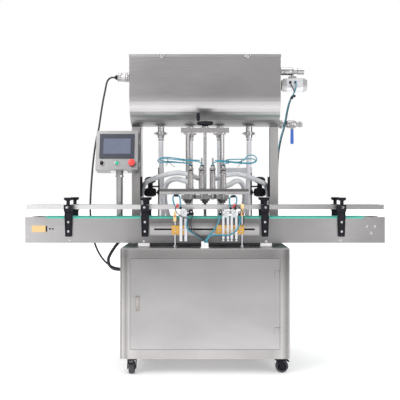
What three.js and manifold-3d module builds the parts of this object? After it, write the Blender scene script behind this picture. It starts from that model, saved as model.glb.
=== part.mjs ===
// Four-head piston filler for creams and liquids: a cabinet on casters, a slat conveyor across it, a
// hopper on two uprights, a hand-cranked lift with four nozzles, and metering cylinders in the cabinet.
// Millimetres, +Z up, +X to the right along the conveyor, -Y towards the operator. Lengths along y are
// counted from the front face of the conveyor, and the finished group is shifted to centre its box.

import * as THREE from 'three';
import { mergeVertices } from 'three/addons/utils/BufferGeometryUtils.js';
import Module from 'manifold-3d';

const wasm = await Module();
wasm.setup();

// Driving dimensions
const GAP = 0.3; // left between two pieces that touch
const NUDGE = 0.01; // keeps two faces out of one plane
const CENTRE_Y = 199.25; // half way between the foremost and the rearmost point

const HALF_WIDTH = 450; // of the cabinet, the uprights and the hopper
const CABINET_FRONT = -152;
const CABINET_BACK = 498;
const CABINET_BOTTOM = 90;
const CABINET_TOP = 675;
const TUBE = 50;
const TUBE_WALL = 2;
const SHEET = 1.5;
const TABLE_TOP = 678;
const FLOOR_TOP = 134;

const CASTER_X = 395;
const CASTER_FRONT_Y = -80;
const CASTER_REAR_Y = 426;
const CASTER_TURNS = [-90, 0, 140, 35]; // degrees: front left, front right, rear left, rear right
const WHEEL_RADIUS = 35;
const WHEEL_TRAIL = 22;

const CONVEYOR_HALF = 1000;
const CONVEYOR_DEPTH = 155;
const CONVEYOR_BOTTOM = 696;
const CONVEYOR_TOP = 840;
const PLATE = 3;
const ROLLER_X = 890;
const ROLLER_Z = 779;
const ROLLER_RADIUS = 58.6;
const BELT_INNER = 59;
const BELT_OUTER = 64;
const SHAFT_RADIUS = 11;

const RAIL_BOTTOM = 882;
const RAIL_TOP = 907;
const RAIL_THICK = 8;
const RAIL_FRONT_Y = 24;
const RAIL_REAR_Y = 123;
const BRACKET_XS = [-757, -333, 333, 757];
const ROD_RADIUS = 6;

const UPRIGHT_FRONT = 386;
const HOPPER_Y = 403;
const HOPPER_RADIUS = 156;
const HOPPER_BEND_Z = 1536; // where the flat walls meet the round bottom
const HOPPER_TOP = 1794;
const HOPPER_WALL = 2;
const HOPPER_BOTTOM = HOPPER_BEND_Z - HOPPER_RADIUS;
const OUTLET_XS = [-272, -90, 90, 272];
const OUTLET_END = 1311;
const VALVE_Z = 1722;
const DRAIN_Z = 1395;
const SENSOR_Z = 1685;

const LIFT_Y = 190;
const COLUMN_X = 100;
const COLUMN_RADIUS = 12.5;
const BEAM_BOTTOM = 1324;
const BEAM_TOP = 1353;
const SCREW_RADIUS = 9.5;
const WHEEL_Z = 1363;

const NOZZLE_XS = [-81, -18, 44, 105];
const NOZZLE_Y = 78;
const NOZZLE_BAR_TOP = 997;
const HOSE_RADIUS = 15;
const HOSE_END_Y = 112;
const PORT_HEIGHTS = [1035, 1052, 1052, 1012];

const METERING_XS = [-256, -90, 90, 256];
const METERING_Y = 345;
const SUPPLY_Y = 400;
const SHELF_TOP = 330;
const VALVE_BLOCK_TOP = 480;
const PORT_TOP = 500;

const PANEL_X = -510;
const PANEL_Z = 1212;
const PANEL_TILT = -12; // degrees: the face looks slightly upwards
const PANEL_WIDTH = 243;
const PANEL_HEIGHT = 232;
const PANEL_DEPTH = 90;
const POST_X = -500;
const POST_Y = 195;
const POST_TOP = 1080;
const SWITCH_Z = -78;
const SWITCH_XS = { selector: -85, start: 3, stop: 88 };

const SENSOR_LENGTH = 107;
const CABLE_RADIUS = 5.5;
const CONDUIT_RADIUS = 9.5;
const GLAND_Z = 530;
const CONDUIT_Y = 150;
const CABLE_Y = 195;

// Finishes
const finish = (color, roughness, metalness) =>
  new THREE.MeshStandardMaterial({ color, roughness, metalness });
const STEEL = finish(0xa8a4a4, 0.38, 1);
const POLISHED = finish(0xc8c8cc, 0.15, 1);
const ALUMINIUM = finish(0xdfe1e6, 0.35, 0.9);
const BLACK = finish(0x28262f, 0.5, 0);
const TYRE = finish(0x3a3940, 0.7, 0);
const TEAL = finish(0x4fae98, 0.5, 0);
const GOLD = finish(0xd7a54b, 0.35, 0.8);
const PAINT = finish(0x8d9298, 0.5, 0.2);
const HOSE = finish(0xc9cdd2, 0.4, 0);
const BLUE = finish(0x285abe, 0.45, 0);
const GREEN = finish(0x149b7d, 0.4, 0);
const RED = finish(0xe03c3c, 0.4, 0);
const SCREEN = finish(0x464b5a, 0.3, 0);

// A closed three.js geometry as a solid that can be joined and cut.
function solid(geometry) {
  const bare = geometry.clone();
  bare.deleteAttribute('normal');
  bare.deleteAttribute('uv');
  const merged = mergeVertices(bare, 1e-3);
  const corners = merged.index.array;
  const kept = [];
  for (let i = 0; i < corners.length; i += 3) {
    const [a, b, c] = corners.slice(i, i + 3);
    if (a !== b && b !== c && c !== a) kept.push(a, b, c);
  }
  const mesh = (triangles) => new wasm.Mesh({
    numProp: 3,
    vertProperties: new Float32Array(merged.attributes.position.array),
    triVerts: new Uint32Array(triangles),
  });
  const body = new wasm.Manifold(mesh(kept));
  return body.volume() > 0 ? body : new wasm.Manifold(mesh(kept.reverse()));
}

const join = (...bodies) => bodies.reduce((all, one) => all.add(one));
const cut = (body, ...tools) => tools.reduce((rest, tool) => rest.subtract(tool), body);

const block = (x0, x1, y0, y1, z0, z1) =>
  solid(new THREE.BoxGeometry(x1 - x0, y1 - y0, z1 - z0)
    .translate((x0 + x1) / 2, (y0 + y1) / 2, (z0 + z1) / 2));

const towards = (x, y, z) =>
  new THREE.Quaternion().setFromUnitVectors(new THREE.Vector3(0, 1, 0), new THREE.Vector3(x, y, z));

// A straight rod or cone between two points.
function rod(from, to, radius, sides = 12, endRadius = radius) {
  const start = new THREE.Vector3(...from);
  const along = new THREE.Vector3(...to).sub(start);
  const middle = start.addScaledVector(along, 0.5);
  const geometry = new THREE.CylinderGeometry(endRadius, radius, along.length(), sides);
  along.normalize();
  geometry.applyQuaternion(towards(along.x, along.y, along.z));
  return solid(geometry.translate(middle.x, middle.y, middle.z));
}

// A turned piece: [radius, distance] pairs along a direction from its base.
function turned(profile, base, direction = [0, 0, 1], sides = 16) {
  const points = profile.map(([radius, along]) => new THREE.Vector2(radius, along));
  const geometry = new THREE.LatheGeometry(points, sides);
  geometry.applyQuaternion(towards(...direction));
  return solid(geometry.translate(...base));
}

// An outline pushed out along one axis. Along x it is read as (y, z), and along y as (x, z).
function prism(outline, axis, from, to, curveSegments = 8) {
  const shape = Array.isArray(outline)
    ? new THREE.Shape(outline.map(([u, v]) => new THREE.Vector2(u, v)))
    : outline;
  const options = { depth: to - from, bevelEnabled: false, curveSegments };
  const geometry = new THREE.ExtrudeGeometry(shape, options);
  const side = (x, y, z) => new THREE.Vector3(x, y, z);
  if (axis === 'x') {
    geometry.applyMatrix4(new THREE.Matrix4().makeBasis(side(0, 1, 0), side(0, 0, 1), side(1, 0, 0)));
    geometry.translate(from, 0, 0);
  } else {
    geometry.applyMatrix4(new THREE.Matrix4().makeBasis(side(1, 0, 0), side(0, 0, 1), side(0, -1, 0)));
    geometry.translate(0, to, 0);
  }
  return solid(geometry);
}

// A round hose or cable through a list of points.
function hose(points, radius, steps) {
  const circle = [...Array(8).keys()].map((i) => {
    const angle = i * Math.PI / 4;
    return new THREE.Vector2(radius * Math.cos(angle), radius * Math.sin(angle));
  });
  const path = new THREE.CatmullRomCurve3(points.map((p) => new THREE.Vector3(...p)));
  const options = { steps, extrudePath: path, bevelEnabled: false };
  return solid(new THREE.ExtrudeGeometry(new THREE.Shape(circle), options));
}

function part(parent, name, body, material) {
  const { vertProperties, triVerts } = body.getMesh();
  const geometry = new THREE.BufferGeometry();
  geometry.setAttribute('position', new THREE.BufferAttribute(vertProperties, 3));
  geometry.setIndex(new THREE.BufferAttribute(triVerts, 1));
  geometry.computeVertexNormals();
  const mesh = new THREE.Mesh(geometry, material);
  mesh.name = name;
  parent.add(mesh);
}

const machine = new THREE.Group();
const radians = THREE.MathUtils.degToRad;

// Square tubes welded into one frame whose hollows meet. A tube that starts at `openBottom` is open there,
// and the others are closed.
function hollowTubes(boxes, openBottom) {
  const inside = boxes.map(([x0, x1, y0, y1, z0, z1]) => block(
    x0 + TUBE_WALL, x1 - TUBE_WALL, y0 + TUBE_WALL, y1 - TUBE_WALL,
    z0 + (z0 === openBottom ? -1 : TUBE_WALL), z1 - TUBE_WALL));
  return cut(join(...boxes.map((b) => block(...b))), ...inside);
}

// Cabinet
const LEFT_TUBE = [-HALF_WIDTH, -HALF_WIDTH + TUBE];
const RIGHT_TUBE = [HALF_WIDTH - TUBE, HALF_WIDTH];
const FRONT_TUBE = [CABINET_FRONT, CABINET_FRONT + TUBE];
const BACK_TUBE = [CABINET_BACK - TUBE, CABINET_BACK];

function cabinetFrame() {
  const posts = [];
  const rails = [];
  const heights = [[CABINET_BOTTOM + NUDGE, CABINET_BOTTOM + TUBE], [CABINET_TOP - TUBE, CABINET_TOP]];
  for (const y of [FRONT_TUBE, BACK_TUBE]) {
    for (const x of [LEFT_TUBE, RIGHT_TUBE]) posts.push([...x, ...y, CABINET_BOTTOM, CABINET_TOP]);
    for (const z of heights) rails.push([-HALF_WIDTH, HALF_WIDTH, ...y, ...z]);
  }
  for (const x of [LEFT_TUBE, RIGHT_TUBE]) {
    for (const z of heights) rails.push([...x, CABINET_FRONT, CABINET_BACK, ...z]);
  }
  const floor = block(
    -HALF_WIDTH + TUBE - 1, HALF_WIDTH - TUBE + 1,
    CABINET_FRONT + TUBE - 1, CABINET_BACK - TUBE + 1, FLOOR_TOP - PLATE, FLOOR_TOP);
  const pads = [];
  for (const y of [CASTER_FRONT_Y, CASTER_REAR_Y]) {
    for (const x of [-CASTER_X, CASTER_X]) {
      pads.push(block(x - 36, x + 36, y - 36, y + 36, 84, CABINET_BOTTOM + 1));
    }
  }
  return join(hollowTubes([...posts, ...rails], CABINET_BOTTOM), floor, ...pads);
}

function cabinetPanels() {
  const inner = HALF_WIDTH + GAP;
  const back = CABINET_BACK + GAP;
  const low = CABINET_BOTTOM + 3;
  const high = CABINET_TOP - 3;
  const wrap = cut(
    block(-inner - SHEET, inner + SHEET, CABINET_FRONT + 2, back + SHEET, low, high),
    block(-inner, inner, CABINET_FRONT - 10, back, low - 1, high + 1));
  const plateX = -inner - SHEET;
  return join(
    wrap,
    block(plateX - 4, plateX + 1, 105, 235, 490, 575),
    rod([plateX - 1, CONDUIT_Y, GLAND_Z], [plateX - 20, CONDUIT_Y, GLAND_Z], 14, 12),
    rod([plateX - 1, CABLE_Y, GLAND_Z], [plateX - 20, CABLE_Y, GLAND_Z], 10, 12));
}

const FILLING_HOLES = [[-364, 399], [-158, 345], [158, 345], [364, 399]];

function tableTop() {
  const sheet = block(
    -HALF_WIDTH - 1, HALF_WIDTH + 1, CABINET_FRONT - 1, CABINET_BACK + 1, CABINET_TOP + GAP, TABLE_TOP);
  const through = (x, y) => rod([x, y, CABINET_TOP - 1], [x, y, TABLE_TOP + 1], 26, 10);
  const supply = METERING_XS.map((x) => through(x, SUPPLY_Y));
  const filling = FILLING_HOLES.map(([x, y]) => through(x, y));
  return cut(sheet, ...supply, ...filling);
}

const DOOR_EDGE = 398.5;
const DOOR_BOTTOM = 141.5;
const DOOR_TOP = 623.5;
const DOOR_PAN = 20;
const HINGE_X = 399;
const HINGE_Y = CABINET_FRONT - 5.5;
const LATCH_X = -360;
const LATCH_TOP = 427;

function cabinetDoor() {
  const pan = cut(
    block(-DOOR_EDGE, DOOR_EDGE, CABINET_FRONT, CABINET_FRONT + DOOR_PAN, DOOR_BOTTOM, DOOR_TOP),
    block(
      -DOOR_EDGE + SHEET, DOOR_EDGE - SHEET, CABINET_FRONT + SHEET, CABINET_FRONT + DOOR_PAN + 1,
      DOOR_BOTTOM + SHEET, DOOR_TOP - SHEET));
  const knuckles = [238, 540].flatMap((z) => [
    rod([HINGE_X, HINGE_Y, z - 19], [HINGE_X, HINGE_Y, z + 19], 5, 10),
    block(HINGE_X - 27, HINGE_X, HINGE_Y, CABINET_FRONT + 0.5, z - 19, z + 19),
  ]);
  return join(pan, ...knuckles);
}

function doorLatch() {
  const front = CABINET_FRONT - GAP;
  return join(
    block(LATCH_X - 10, LATCH_X + 10, front - 4, front, LATCH_TOP - 82, LATCH_TOP - 6),
    rod([LATCH_X - 11, front - 4, LATCH_TOP - 6], [LATCH_X + 11, front - 4, LATCH_TOP - 6], 4, 10));
}

part(machine, 'cabinet_frame', cabinetFrame(), STEEL);
part(machine, 'cabinet_panels', cabinetPanels(), STEEL);
part(machine, 'table_top', tableTop(), POLISHED);
part(machine, 'cabinet_door', cabinetDoor(), STEEL);
part(machine, 'door_latch', doorLatch(), POLISHED);

// Casters: each is drawn about its swivel axis with the wheel trailing along +x.
const FORK_HALF = 24;
const WHEEL_HALF = 17;

function casterFork() {
  const cheek = [[-20, 79], [22, 79], [36, 44], [32, 25], [14, 25], [8, 44]];
  const pedal = [[4, 81], [40, 75], [62, 63], [59, 58], [38, 69], [4, 74]];
  return join(
    rod([0, 0, 76], [0, 0, 84 - GAP], 25, 12),
    block(-20, 30, -FORK_HALF, FORK_HALF, 73, 79),
    prism(cheek, 'y', -FORK_HALF, -FORK_HALF + 4),
    prism(cheek, 'y', FORK_HALF - 4, FORK_HALF),
    prism(pedal, 'y', -14, 14),
    rod([WHEEL_TRAIL, -FORK_HALF, WHEEL_RADIUS], [WHEEL_TRAIL, FORK_HALF, WHEEL_RADIUS], 5.5, 12));
}

function casterWheel() {
  const bore = 6.3;
  const profile = [
    [bore, -WHEEL_HALF], [29, -WHEEL_HALF], [WHEEL_RADIUS, -9],
    [WHEEL_RADIUS, 9], [29, WHEEL_HALF], [bore, WHEEL_HALF], [bore, -WHEEL_HALF],
  ];
  return turned(profile, [WHEEL_TRAIL, 0, WHEEL_RADIUS], [0, 1, 0], 16);
}

[CASTER_FRONT_Y, CASTER_REAR_Y].forEach((y, row) => {
  [-CASTER_X, CASTER_X].forEach((x, column) => {
    const number = row * 2 + column;
    const caster = new THREE.Group();
    caster.position.set(x, y, 0);
    caster.rotation.z = radians(CASTER_TURNS[number]);
    part(caster, `caster_fork_${number + 1}`, casterFork(), BLACK);
    part(caster, `caster_wheel_${number + 1}`, casterWheel(), TYRE);
    machine.add(caster);
  });
});

// Conveyor. The side plates carry the tapered brackets whose heads hold the guide rails' rods.
function railBracket(x, face, out) {
  const outline = [
    [x - 17, 733], [x + 17, 733], [x + 21, 840], [x + 21, RAIL_TOP], [x - 21, RAIL_TOP], [x - 21, 840],
  ];
  const [near, far] = [face - out * 0.5, face + out * 12].sort((a, b) => a - b);
  const [headNear, headFar] = [face + out, face + out * 32].sort((a, b) => a - b);
  const knobY = face + out * 16;
  const rail = (RAIL_BOTTOM + RAIL_TOP) / 2;
  const body = join(
    prism(outline, 'y', near, far),
    block(x - 21, x + 21, headNear, headFar, 872, RAIL_TOP),
    rod([x, knobY, RAIL_TOP - 1], [x, knobY, 936], 9, 8),
    rod([x, knobY, 934], [x, knobY, 947], 14, 8, 23));
  return cut(body, rod([x, face - 40, rail], [x, face + 40, rail], ROD_RADIUS + 0.9, 8));
}

const shaftHole = (x, y) => rod([x, y - 1, ROLLER_Z], [x, y + PLATE + 1, ROLLER_Z], 12.5, 12);

function sideFront() {
  const plate = cut(
    block(-CONVEYOR_HALF, CONVEYOR_HALF, 0, PLATE, CONVEYOR_BOTTOM, CONVEYOR_TOP),
    shaftHole(-ROLLER_X, 0), shaftHole(ROLLER_X, 0));
  return join(plate, ...BRACKET_XS.map((x) => railBracket(x, 0, -1)));
}

function sideRear() {
  const rear = CONVEYOR_DEPTH - PLATE;
  const plate = cut(
    block(-CONVEYOR_HALF, CONVEYOR_HALF, rear, CONVEYOR_DEPTH, CONVEYOR_BOTTOM, CONVEYOR_TOP),
    shaftHole(-ROLLER_X, rear), shaftHole(ROLLER_X, rear));
  const crossRods = [-700, -250, 250, 700].map((x) =>
    rod([x, PLATE + GAP, ROLLER_Z], [x, rear + 1, ROLLER_Z], 9, 8));
  const feet = [-340, 340].map((x) =>
    block(x - 30, x + 30, PLATE + 5, rear + 1, TABLE_TOP + GAP, CONVEYOR_BOTTOM + 3));
  const bed = join(
    block(-820, 820, 10, 145, 831, 835),
    block(-820, 820, 76, 80, ROLLER_Z, 832));
  return join(
    plate, bed, ...crossRods, ...feet,
    ...BRACKET_XS.map((x) => railBracket(x, CONVEYOR_DEPTH, 1)));
}

function beltLoop() {
  const stadium = (radius) => {
    const shape = new THREE.Shape();
    shape.absarc(ROLLER_X, ROLLER_Z, radius, -Math.PI / 2, Math.PI / 2);
    shape.absarc(-ROLLER_X, ROLLER_Z, radius, Math.PI / 2, Math.PI * 1.5);
    return shape;
  };
  return cut(
    prism(stadium(BELT_OUTER), 'y', 12, CONVEYOR_DEPTH - 12, 12),
    prism(stadium(BELT_INNER), 'y', 0, CONVEYOR_DEPTH, 12));
}

function roller(x, shaftEnd) {
  return join(
    rod([x, 14, ROLLER_Z], [x, CONVEYOR_DEPTH - 14, ROLLER_Z], ROLLER_RADIUS, 20),
    rod([x, 0.5, ROLLER_Z], [x, shaftEnd, ROLLER_Z], SHAFT_RADIUS, 12));
}

function gearMotor() {
  const face = CONVEYOR_DEPTH + GAP;
  const gearbox = block(ROLLER_X - 50, ROLLER_X + 50, face, face + 90, ROLLER_Z - 55, ROLLER_Z + 41);
  const motor = rod([ROLLER_X, face + 88, 768], [ROLLER_X, face + 250, 768], 41, 12);
  const bore = rod([ROLLER_X, face - 1, ROLLER_Z], [ROLLER_X, face + 70, ROLLER_Z], 12.5, 12);
  return cut(join(gearbox, motor), bore);
}

function guideRail(y, rodFrom, rodTo) {
  const middle = (RAIL_BOTTOM + RAIL_TOP) / 2;
  const bar = block(-CONVEYOR_HALF, CONVEYOR_HALF, y, y + RAIL_THICK, RAIL_BOTTOM, RAIL_TOP);
  return join(bar, ...BRACKET_XS.map((x) => rod([x, rodFrom, middle], [x, rodTo, middle], ROD_RADIUS, 8)));
}

part(machine, 'conveyor_side_front', sideFront(), STEEL);
part(machine, 'conveyor_side_rear', sideRear(), STEEL);
part(machine, 'conveyor_belt', beltLoop(), TEAL);
part(machine, 'drive_roller', roller(ROLLER_X, CONVEYOR_DEPTH + 60), BLACK);
part(machine, 'idler_roller', roller(-ROLLER_X, CONVEYOR_DEPTH - 0.5), BLACK);
part(machine, 'gear_motor', gearMotor(), PAINT);
part(machine, 'guide_rail_front', guideRail(RAIL_FRONT_Y, -58, RAIL_FRONT_Y + 1), ALUMINIUM);
part(machine, 'guide_rail_rear', guideRail(RAIL_REAR_Y, RAIL_REAR_Y + 7, 213), ALUMINIUM);

// Bottle stops on a slotted rail along the conveyor's front
const STOP_FACE = -10; // front face of the slotted rail
const STOP_Z = 866;

function stopperRail() {
  const rail = cut(
    block(-306, 301, STOP_FACE, STOP_FACE + 5, 736, 810),
    block(-282, 276, STOP_FACE - 1, STOP_FACE + 6, 767, 777));
  const spacers = [-294, 289].map((x) => rod([x, STOP_FACE + 4, 772], [x, -GAP, 772], 8, 10));
  return join(rail, ...spacers);
}

// An air cylinder lies across the conveyor's front edge on two upright bars and a clamp block.
function stopper(blockXs, blockBottom, barXs, cylinderXs, cylinderRadius) {
  const face = STOP_FACE - GAP;
  const clamp = block(blockXs[0], blockXs[1], face - 30, face, blockBottom, blockBottom + 49);
  const bars = barXs.map((x) => block(x - 8, x + 8, face - 40, face - 28, 709, STOP_Z));
  const cylinders = cylinderXs.map((x) =>
    rod([x, face - 62, STOP_Z], [x, face - 12, STOP_Z], cylinderRadius, 12));
  const bores = cylinderXs.map((x) => rod([x, face - 50, STOP_Z], [x, face, STOP_Z], 6.8, 12));
  return cut(join(clamp, ...bars, ...cylinders), ...bores);
}

function stopperRod(xs) {
  const face = STOP_FACE - GAP;
  const rods = xs.map((x) => rod([x, face - 46, STOP_Z], [x, 10, STOP_Z], 6, 12));
  const gate = block(Math.min(...xs) - 9, Math.max(...xs) + 9, 6, 11, STOP_Z - 10, STOP_Z + 10);
  return join(...rods, gate);
}

part(machine, 'stopper_rail', stopperRail(), POLISHED);
part(machine, 'stopper_left', stopper([-183, -99], 745, [-131, -106], [-118], 22), GOLD);
part(machine, 'stopper_left_rod', stopperRod([-118]), POLISHED);
part(machine, 'stopper_right', stopper([60, 215], 748, [115, 160], [115, 160], 16.5), GOLD);
part(machine, 'stopper_right_rod', stopperRod([115, 160]), POLISHED);

// Hopper: flat walls above a half-round bottom, open at the top under a lipped lid.
function hopperOutline(inset) {
  const radius = HOPPER_RADIUS - inset;
  const top = inset ? HOPPER_TOP + 10 : HOPPER_TOP;
  const shape = new THREE.Shape();
  shape.moveTo(HOPPER_Y + radius, top);
  shape.lineTo(HOPPER_Y - radius, top);
  shape.lineTo(HOPPER_Y - radius, HOPPER_BEND_Z);
  shape.absarc(HOPPER_Y, HOPPER_BEND_Z, radius, Math.PI, Math.PI * 2);
  return shape;
}

function hopperTank() {
  const outlets = OUTLET_XS.map((x) => join(
    rod([x, HOPPER_Y, OUTLET_END], [x, HOPPER_Y, HOPPER_BOTTOM + 1], 19, 12),
    rod([x, HOPPER_Y, OUTLET_END + 18], [x, HOPPER_Y, OUTLET_END + 36], 29, 12)));
  const bores = OUTLET_XS.map((x) =>
    rod([x, HOPPER_Y, OUTLET_END - 1], [x, HOPPER_Y, HOPPER_BOTTOM + 5], 15, 10));
  const walls = prism(hopperOutline(0), 'x', -HALF_WIDTH, HALF_WIDTH, 12);
  const space = prism(
    hopperOutline(HOPPER_WALL), 'x', -HALF_WIDTH + HOPPER_WALL, HALF_WIDTH - HOPPER_WALL, 12);
  const probeHole = rod([-HALF_WIDTH - 5, HOPPER_Y, SENSOR_Z], [-440, HOPPER_Y, SENSOR_Z], 8, 12);
  return cut(join(walls, ...outlets), space, ...bores, probeHole);
}

const LID_BOTTOM = 1780;
const LID_TOP = 1797;

function hopperLid() {
  const x = HALF_WIDTH + 2;
  const front = HOPPER_Y - HOPPER_RADIUS - 2;
  const back = HOPPER_Y + HOPPER_RADIUS + 2;
  const tray = cut(
    block(-x, x, front, back, LID_BOTTOM, LID_TOP),
    block(-x + SHEET, x - SHEET, front + SHEET, back - SHEET, LID_BOTTOM - 1, LID_TOP - SHEET));
  const pulls = [-258, 251].map((pullX) => join(
    block(pullX - 20, pullX + 20, front - 9, front + 0.5, LID_BOTTOM - 1, LID_BOTTOM + 3),
    block(pullX - 20, pullX - 15, front - 9, front + 0.5, LID_BOTTOM - 1, LID_BOTTOM + 14),
    block(pullX + 15, pullX + 20, front - 9, front + 0.5, LID_BOTTOM - 1, LID_BOTTOM + 14)));
  return join(tray, ...pulls);
}

function hopperFrame() {
  const back = UPRIGHT_FRONT + TUBE;
  const bottom = TABLE_TOP + GAP;
  const top = HOPPER_BOTTOM - GAP;
  const post = (x) => [...x, UPRIGHT_FRONT, back, bottom, top];
  const base = [-HALF_WIDTH, HALF_WIDTH, back - 3 * TUBE_WALL, back + 40, bottom + NUDGE, bottom + 40];
  return hollowTubes([post(LEFT_TUBE), post(RIGHT_TUBE), base], bottom);
}

function levelSensor() {
  const x = -HALF_WIDTH - GAP;
  const head = [
    [0, 0], [22, 0], [22, 16], [29, 18], [29, 62], [25, 66], [25, 84], [18, 90], [18, 104],
    [9, SENSOR_LENGTH], [0, SENSOR_LENGTH],
  ];
  return join(
    turned(head, [x, HOPPER_Y, SENSOR_Z], [-1, 0, 0], 14),
    rod([x - 2, HOPPER_Y, SENSOR_Z], [-390, HOPPER_Y, SENSOR_Z], 6, 10));
}

function inletValve() {
  const x = HALF_WIDTH + GAP;
  const pipe = [
    [0, 0], [24, 0], [24, 6], [15, 8], [15, 18], [24, 22], [24, 90], [15, 94], [15, 118], [19, 120],
    [19, 160], [0, 160],
  ];
  return join(
    turned(pipe, [x, HOPPER_Y, VALVE_Z], [1, 0, 0], 12),
    rod([540, HOPPER_Y, VALVE_Z - 10], [540, HOPPER_Y, 1670], 9, 10),
    block(518, 562, HOPPER_Y - 20, HOPPER_Y + 20, 1676, 1694),
    block(496, 604, HOPPER_Y - 38, HOPPER_Y + 38, 1597, 1677),
    block(473, 627, HOPPER_Y - 35, HOPPER_Y + 35, 1600, 1674));
}

const LEVER_X = 533;
const LEVER_Y = HOPPER_Y - 34;

function drainValve() {
  const pipe = [
    [0, 0], [16, 0], [16, 10], [26, 12], [26, 26], [16, 28], [16, 52], [24, 56], [24, 108], [16, 112],
    [16, 150], [0, 150],
  ];
  return join(
    turned(pipe, [HALF_WIDTH + GAP, HOPPER_Y, DRAIN_Z], [1, 0, 0], 12),
    rod([LEVER_X, HOPPER_Y, DRAIN_Z], [LEVER_X, LEVER_Y + 3, DRAIN_Z], 10, 10));
}

function drainLever() {
  const outline = [[LEVER_X - 13, DRAIN_Z + 13], [LEVER_X - 13, DRAIN_Z - 16], [LEVER_X - 9, DRAIN_Z - 40],
    [LEVER_X - 10, DRAIN_Z - 125], [LEVER_X + 10, DRAIN_Z - 125], [LEVER_X + 9, DRAIN_Z - 40],
    [LEVER_X + 13, DRAIN_Z - 16], [LEVER_X + 13, DRAIN_Z + 13]];
  return prism(outline, 'y', LEVER_Y - 5, LEVER_Y + 3 - GAP);
}

part(machine, 'hopper_tank', hopperTank(), STEEL);
part(machine, 'hopper_lid', hopperLid(), STEEL);
part(machine, 'hopper_frame', hopperFrame(), STEEL);
part(machine, 'level_sensor', levelSensor(), POLISHED);
part(machine, 'inlet_valve', inletValve(), POLISHED);
part(machine, 'drain_valve', drainValve(), POLISHED);
part(machine, 'drain_lever', drainLever(), BLUE);

// Lift: two columns under a beam, a lead screw between them, and a carriage that the screw raises.
function liftFrame() {
  const base = block(-140, 140, LIFT_Y - 22, LIFT_Y + 22, TABLE_TOP + GAP, TABLE_TOP + 12);
  const beam = block(-140, 140, LIFT_Y - 22, LIFT_Y + 22, BEAM_BOTTOM, BEAM_TOP);
  const columns = [-COLUMN_X, COLUMN_X].map((x) =>
    rod([x, LIFT_Y, TABLE_TOP + 5], [x, LIFT_Y, BEAM_BOTTOM + 5], COLUMN_RADIUS, 12));
  const journal = rod([0, LIFT_Y, BEAM_BOTTOM - 1], [0, LIFT_Y, BEAM_TOP + 1], SCREW_RADIUS + 0.7, 12);
  return cut(join(base, beam, ...columns), journal);
}

const liftScrew = () =>
  rod([0, LIFT_Y, TABLE_TOP + 12 + GAP], [0, LIFT_Y, WHEEL_Z - GAP], SCREW_RADIUS, 12);

const GRIP_X = -40;

function handwheel() {
  const profile = [
    [0, 0], [16, 0], [18, 14], [38, 14], [41, 8], [48, 11], [48, 24], [41, 27], [14, 24],
    [12, 31], [0, 31],
  ];
  return join(
    turned(profile, [0, LIFT_Y, WHEEL_Z], [0, 0, 1], 20),
    rod([GRIP_X, LIFT_Y, WHEEL_Z + 14], [GRIP_X, LIFT_Y, WHEEL_Z + 72], 4, 8));
}

function crankGrip() {
  const profile = [
    [4.8, 0], [8, 0], [10.5, 14], [10, 38], [6, 48], [0, 50], [0, 43], [4.8, 43], [4.8, 0],
  ];
  return turned(profile, [GRIP_X, LIFT_Y, WHEEL_Z + 30], [0, 0, 1], 12);
}

function liftCarriage() {
  const nozzleBar = block(-256, 247, 56, 100, 981, NOZZLE_BAR_TOP);
  const frontBar = block(-256, 247, 46, 58, 965, 982);
  const crossBar = block(-139, 139, LIFT_Y - 18, LIFT_Y + 18, 937, 961);
  const arms = [-60, 60].map((x) => prism(
    [[LIFT_Y - 10, 937], [LIFT_Y - 10, 961], [100, 995], [90, 995], [90, 982]], 'x', x - 6, x + 6));
  const bushing = (x, radius, bore) => cut(
    join(
      rod([x, LIFT_Y, 915], [x, LIFT_Y, 990], radius, 12),
      rod([x, LIFT_Y, 928], [x, LIFT_Y, 938], radius + 9, 12)),
    rod([x, LIFT_Y, 900], [x, LIFT_Y, 1000], bore, 12));
  const bores = [[-COLUMN_X, 13.2], [0, 10.3], [COLUMN_X, 13.2]];
  const drilled = cut(crossBar, ...bores.map(([x, radius]) =>
    rod([x, LIFT_Y, 930], [x, LIFT_Y, 970], radius, 12)));
  const holes = NOZZLE_XS.map((x) => rod([x, NOZZLE_Y, 975], [x, NOZZLE_Y, 1000], 11.5, 12));
  return join(
    cut(nozzleBar, ...holes), frontBar, drilled, ...arms,
    ...bores.map(([x, radius]) => bushing(x, radius + 7, radius)));
}

function nozzle(index) {
  const port = PORT_HEIGHTS[index];
  const profile = [
    [0, 0], [7, 0], [10, 14], [10, 61.5], [17, 61.5], [16, 150], [12, 150], [12, 190], [5, 192],
    [5, 236], [0, 236],
  ];
  return join(
    turned(profile, [0, 0, NOZZLE_BAR_TOP + GAP - 61.5], [0, 0, 1], 12),
    rod([0, 0, port], [0, HOSE_END_Y - NOZZLE_Y - GAP, port], 10, 12));
}

part(machine, 'lift_frame', liftFrame(), POLISHED);
part(machine, 'lift_screw', liftScrew(), POLISHED);
part(machine, 'handwheel', handwheel(), BLACK);
part(machine, 'crank_grip', crankGrip(), BLACK);
part(machine, 'lift_carriage', liftCarriage(), ALUMINIUM);
NOZZLE_XS.forEach((x, index) => {
  const head = new THREE.Group();
  head.position.set(x, NOZZLE_Y, 0);
  part(head, `nozzle_${index + 1}`, nozzle(index), POLISHED);
  machine.add(head);
});

// Metering unit inside the cabinet: four cylinders and a drive cylinder on a shelf, with one crosshead
// below that carries all the piston rods.
const BARREL_TOP = 430;
const CROSSHEAD_BOTTOM = 205;
const GUIDE_XS = [-180, 180];

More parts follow.
